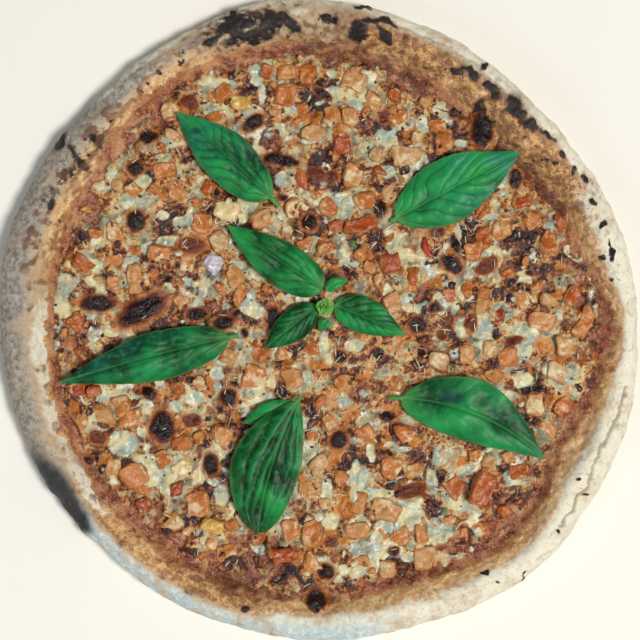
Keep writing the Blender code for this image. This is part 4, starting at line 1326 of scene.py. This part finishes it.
def basil_leaf(name, number, across=44, along=130):
    """One leaf, from its stalk to its tip, with its ribs, puffs, fold and toothed edge."""
    (base, tip, bow, left, right, widest, blunt, heights, stalk, fold_l, fold_r, tone,
     veined, pleated) = LEAVES[name]
    run = np.array(tip, float) - base
    long = np.hypot(*run)
    small = long < 30
    if small:
        across, along = 20, 40
    leaf, share, side = sheet_of(name + "_fresh", along, across)
    over = side * 2 - 1
    stalk_share = stalk / long
    blade = np.clip((share - stalk_share) / (1 - stalk_share), 0, 1)
    power = math.log(0.5) / math.log(widest)
    taper = np.where(blade > widest, blunt, 0.62)
    breadth = np.sin(math.pi * np.clip(blade, 0, 1) ** power).clip(0, 1) ** taper
    teeth = 1 + 0.022 * smooth((blade * 13 + 0.3 * over) % 1, 0.0, 1.0) * np.abs(over) ** 4
    wander = lumps(np.column_stack([blade * 3.1 + number * 7, np.sign(over)]), 1.0, 90 + number, 2)
    half = np.where(over > 0, left, right) * breadth * teeth * (1 + 0.05 * wander * np.abs(over))
    half = np.maximum(half, np.where(blade > 0.97, 0.15, 0.85))
    sideways = np.array([-run[1], run[0]]) / long
    centre = np.array(base) + run * share[:, None]
    centre = centre + sideways * (bow * 4 * share * (1 - share))[:, None]
    flat = centre + sideways * (over * half)[:, None]
    away = np.abs(over)
    spacing = 0.165 if not small else 0.3
    phase = (blade - 0.36 * away**0.9 * (0.6 + 0.5 * breadth)) / spacing
    phase = phase + np.where(over > 0, 0.0, 0.45)
    phase = phase + 0.6 * lumps(np.column_stack([flat, np.zeros(len(flat))]), 17, 95 + number, 2)
    nearest = np.abs((phase % 1) - 0.5)          # 0.5 on a vein, 0 between two
    vein = smooth(nearest, 0.40, 0.5) * breadth**0.5
    vein = vein * (1 - smooth(away, 0.82, 0.97)) * (blade > 0.02)
    midrib = 1 - smooth(away * half, 0.25, 1.1)
    puff = (1 - (2 * nearest) ** 2) * np.sqrt(np.clip(away, 0, 1)) * (1 - away**3)
    scale = min(1.0, half.max() / 12)
    buckle = lumps(np.column_stack([flat, np.zeros(len(flat))]), 11, 100 + number, 2)
    fold = np.where(over > 0, fold_l, fold_r)
    curve = [(1 - share) * (1 - 2 * share), 4 * share * (1 - share), share * (2 * share - 1)]
    level = sum(c * h for c, h in zip(curve, heights))
    ripple = lumps(np.column_stack([blade * 2.2, over * 1.5 + 9 * number]), 1.0, 105 + number, 2)
    pleats = np.sin(2 * math.pi * (away * 2.6 + 0.5 * ripple)) * (1 - away**3)
    pleats = pleats * np.where(over < 0, 1.0, 0.45) * pleated
    quilt = lumps(np.column_stack([flat, np.zeros(len(flat))]), 4.2, 110 + number, 2)
    level = level + (0.2 + 0.6 * veined) * scale * puff * breadth * (0.7 + 0.5 * quilt)
    level = level + 1.0 * buckle * scale * breadth + 0.6 * pleats * breadth * scale
    level = level + 0.16 * quilt * scale * breadth * (1 - away**4)
    level = level - 0.35 * veined * scale * vein - 0.9 * scale * midrib * breadth
    level = level + fold * breadth * (away * (1 - away) * 2.0)
    level = level - 2.0 * fold * breadth * away**2 * 0.6
    level = level + 0.35 * scale * np.sin(17 * blade + 3 * np.sign(over)) * away**3
    level = np.where(blade <= 0, level + 0.5 * np.sqrt(np.clip(1 - over**2, 0, 1)), level)
    put_points(leaf, np.column_stack([flat, level]) * MM)
    note(
        leaf, vein=np.clip(vein * veined, 0, 1), midrib=midrib, margin=smooth(away, 0.93, 1.0),
        # Painted sheen on the raised puffs, pleats and buckles, and painted light on one half.
        puffed=0.75 * puff * breadth * veined + 0.26 * pleats + 0.42 * buckle + 0.08 * quilt
        + PAINTED_LIT_HALF.get(name, 0.0) * 0.4 * np.where(over > 0, 1, -0.5) * smooth(away, 0.0, 0.5),
        tone=np.full(len(share), tone), cool=SKY_SHEEN.get(name, 0.0) * smooth(blade, -0.1, 0.9),
        bruise=in_spots(flat, BRUISES, 0.5), stem=1 - smooth(blade, 0.0, 0.12),
    )
    modified(leaf, "SOLIDIFY", thickness=BLADE_THICKNESS * MM, offset=0.0)
    bpy.ops.object.shade_smooth()
    return leaf


fresh = Finish("fresh_basil", (0.1, 0.6, 1.4, 0.4), Roughness=0.34, Specular_IOR_Level=0.22)
broad = fresh.grain(12.0, 3.0, 0.5)
middle = fresh.grain(3.0, 4.0, 0.55)
fine = fresh.grain(0.8, 3.0, 0.6)
net = fresh.specks(1.5)
# Painted sheen and light: raised and lit parts of each leaf are made lighter.
tone = (fresh.mark("tone") * 0.75 + (broad - 0.5) * 0.5 + fresh.mark("puffed") * 0.8).rise(0.0, 1.0)
colour = fresh.painted(
    fresh.mix(tone, hue(0, 46, 12), hue(30, 146, 68)),
    (middle.rise(0.52, 0.64) * 0.3, hue(38, 142, 84)),
    # Painted bluish sky reflection.
    (fresh.mark("cool") * broad.rise(0.3, 0.7) * 0.75, hue(34, 124, 106)),
    # The sunken veins are darkened with painted shade.
    (fresh.mark("vein") * 0.45, hue(2, 56, 26)), (fresh.mark("midrib") * 0.4, hue(70, 146, 78)),
    (fresh.mark("stem") * 0.6, hue(84, 150, 76)),
    ((1 - middle).rise(0.58, 0.7) * 0.2, hue(2, 62, 34)),
    (fresh.mark("bruise") * 0.7, hue(14, 44, 60)), (fresh.mark("margin") * 0.6, hue(122, 140, 76)),
)
relief = net * 0.2 + fine * 0.2 + middle * 0.6
fresh.feed(
    Base_Color=colour, Roughness=0.34 + 0.2 * middle, Normal=fresh.bump(relief, 0.25, 0.8),
)
for number, name in enumerate(LEAVES):
    leaf = basil_leaf(name, number)
    fresh.on(leaf, "basil")
    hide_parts(name)

# The bud at the heart of the sprig: tiny light-green leaves folded over one another.
BUD = (2.5, 6.0, 14.8)
BUD_LEAVES = (
    # turn, length, half-width, lean outwards, start height
    (20, 6.2, 2.6, 0.95, 0.2), (95, 6.0, 2.5, 0.85, 0.3), (165, 6.4, 2.7, 0.95, 0.1),
    (235, 6.0, 2.6, 0.9, 0.2), (305, 6.3, 2.6, 0.9, 0.3), (60, 4.6, 2.1, 0.6, 1.4),
    (180, 4.8, 2.1, 0.6, 1.3), (270, 4.6, 2.0, 0.55, 1.5), (350, 4.5, 2.0, 0.6, 1.4),
    (30, 3.2, 1.5, 0.35, 2.4), (140, 3.2, 1.5, 0.3, 2.5), (240, 3.2, 1.5, 0.35, 2.6),
)
parts = []
for number, (degrees, long, half, lean, start) in enumerate(BUD_LEAVES):
    part, share, side = sheet_of("bud_leaf", 14, 8)
    over = side * 2 - 1
    wide = half * np.sin(math.pi * (0.08 + 0.92 * share) ** 0.9).clip(0, 1) ** 0.8
    out = long * (share * lean * (1 - 0.25 * share))
    up = start + long * (0.75 * share * (1.15 - lean) + 0.55 * share * (1 - share))
    up = up + 0.55 * np.abs(over) * wide - 0.12 * np.sin(share * 20) * np.abs(over)
    turn = math.radians(degrees)
    x = BUD[0] + out * math.cos(turn) - over * wide * 0.85 * math.sin(turn)
    y = BUD[1] + out * math.sin(turn) + over * wide * 0.85 * math.cos(turn)
    put_points(part, np.column_stack([x, y, BUD[2] + up]) * MM)
    note(
        part, ridge=0.5 + 0.5 * np.cos(share * 26 - 4 * np.abs(over)),
        rim=smooth(np.abs(over), 0.7, 1.0),
    )
    parts.append(part)
bud = joined("basil_bud", parts)
modified(bud, "SOLIDIFY", thickness=BUD_THICKNESS * MM)
bpy.ops.object.shade_smooth()
young = Finish("young_basil", (0.15, 0.6, 1.4, 0.4), Roughness=0.4)
fine = young.grain(0.8, 3.0, 0.6)
colour = young.mix(young.mark("ridge") * (0.6 + 0.5 * fine), hue(40, 124, 40), hue(138, 208, 92))
colour = young.mix(young.mark("rim") * 0.5, colour, hue(160, 206, 110))
young.feed(Base_Color=colour, Roughness=0.32 + 0.2 * fine, Normal=young.bump(fine, 0.2, 0.5))
young.on(bud, "basil_bud")
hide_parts("basil_bud_cluster")

# ---------------------------------------------------------------------------------------
# Table, light and camera. A plain cream table top, a wide soft lamp at the right, a weaker
# cool one from the lower left, and a camera straight above.
EYE_HEIGHT = 0.8413
table = started(bpy.ops.mesh.primitive_plane_add, size=6.0)
table.name = "table_top"
cream = Finish("cream_table_top", Roughness=0.9, Specular_IOR_Level=0.1)
weave = cream.grain(30.0, 3.0, 0.5)
cream.feed(Base_Color=cream.mix(weave, hue(241, 237, 227), hue(243, 239, 229)))
table.data.materials.append(cream.material)


def lamp(name, place, size, power, tint):
    """A square soft lamp that shines on the middle of the pizza."""
    bpy.ops.object.light_add(type="AREA", location=place)
    light = bpy.context.object
    light.name = name
    light.data.shape = "SQUARE"
    light.data.size = size
    light.data.energy = power
    light.data.color = tint
    light.rotation_euler = (-Vector(place)).to_track_quat("-Z", "Y").to_euler()


lamp("key_lamp", (1.00, -0.36, 2.40), 0.60, 58.0, (1.0, 0.98, 0.95))
lamp("fill_lamp", (-0.9, -0.9, 0.9), 0.9, 5.5, (0.84, 0.92, 1.0))
sky = bpy.data.worlds.new("soft_room")
bpy.context.scene.world = sky
sky.use_nodes = True
sky.node_tree.nodes["Background"].inputs["Color"].default_value = (0.93, 0.97, 1.0, 1.0)
sky.node_tree.nodes["Background"].inputs["Strength"].default_value = 0.22
bpy.ops.object.camera_add(location=(0, 0, EYE_HEIGHT), rotation=(0, 0, 0))
eye = bpy.context.object
eye.data.lens = 100.0
eye.data.sensor_width = 36.0
bpy.context.scene.camera = eye
bpy.context.scene.view_settings.view_transform = "Standard"
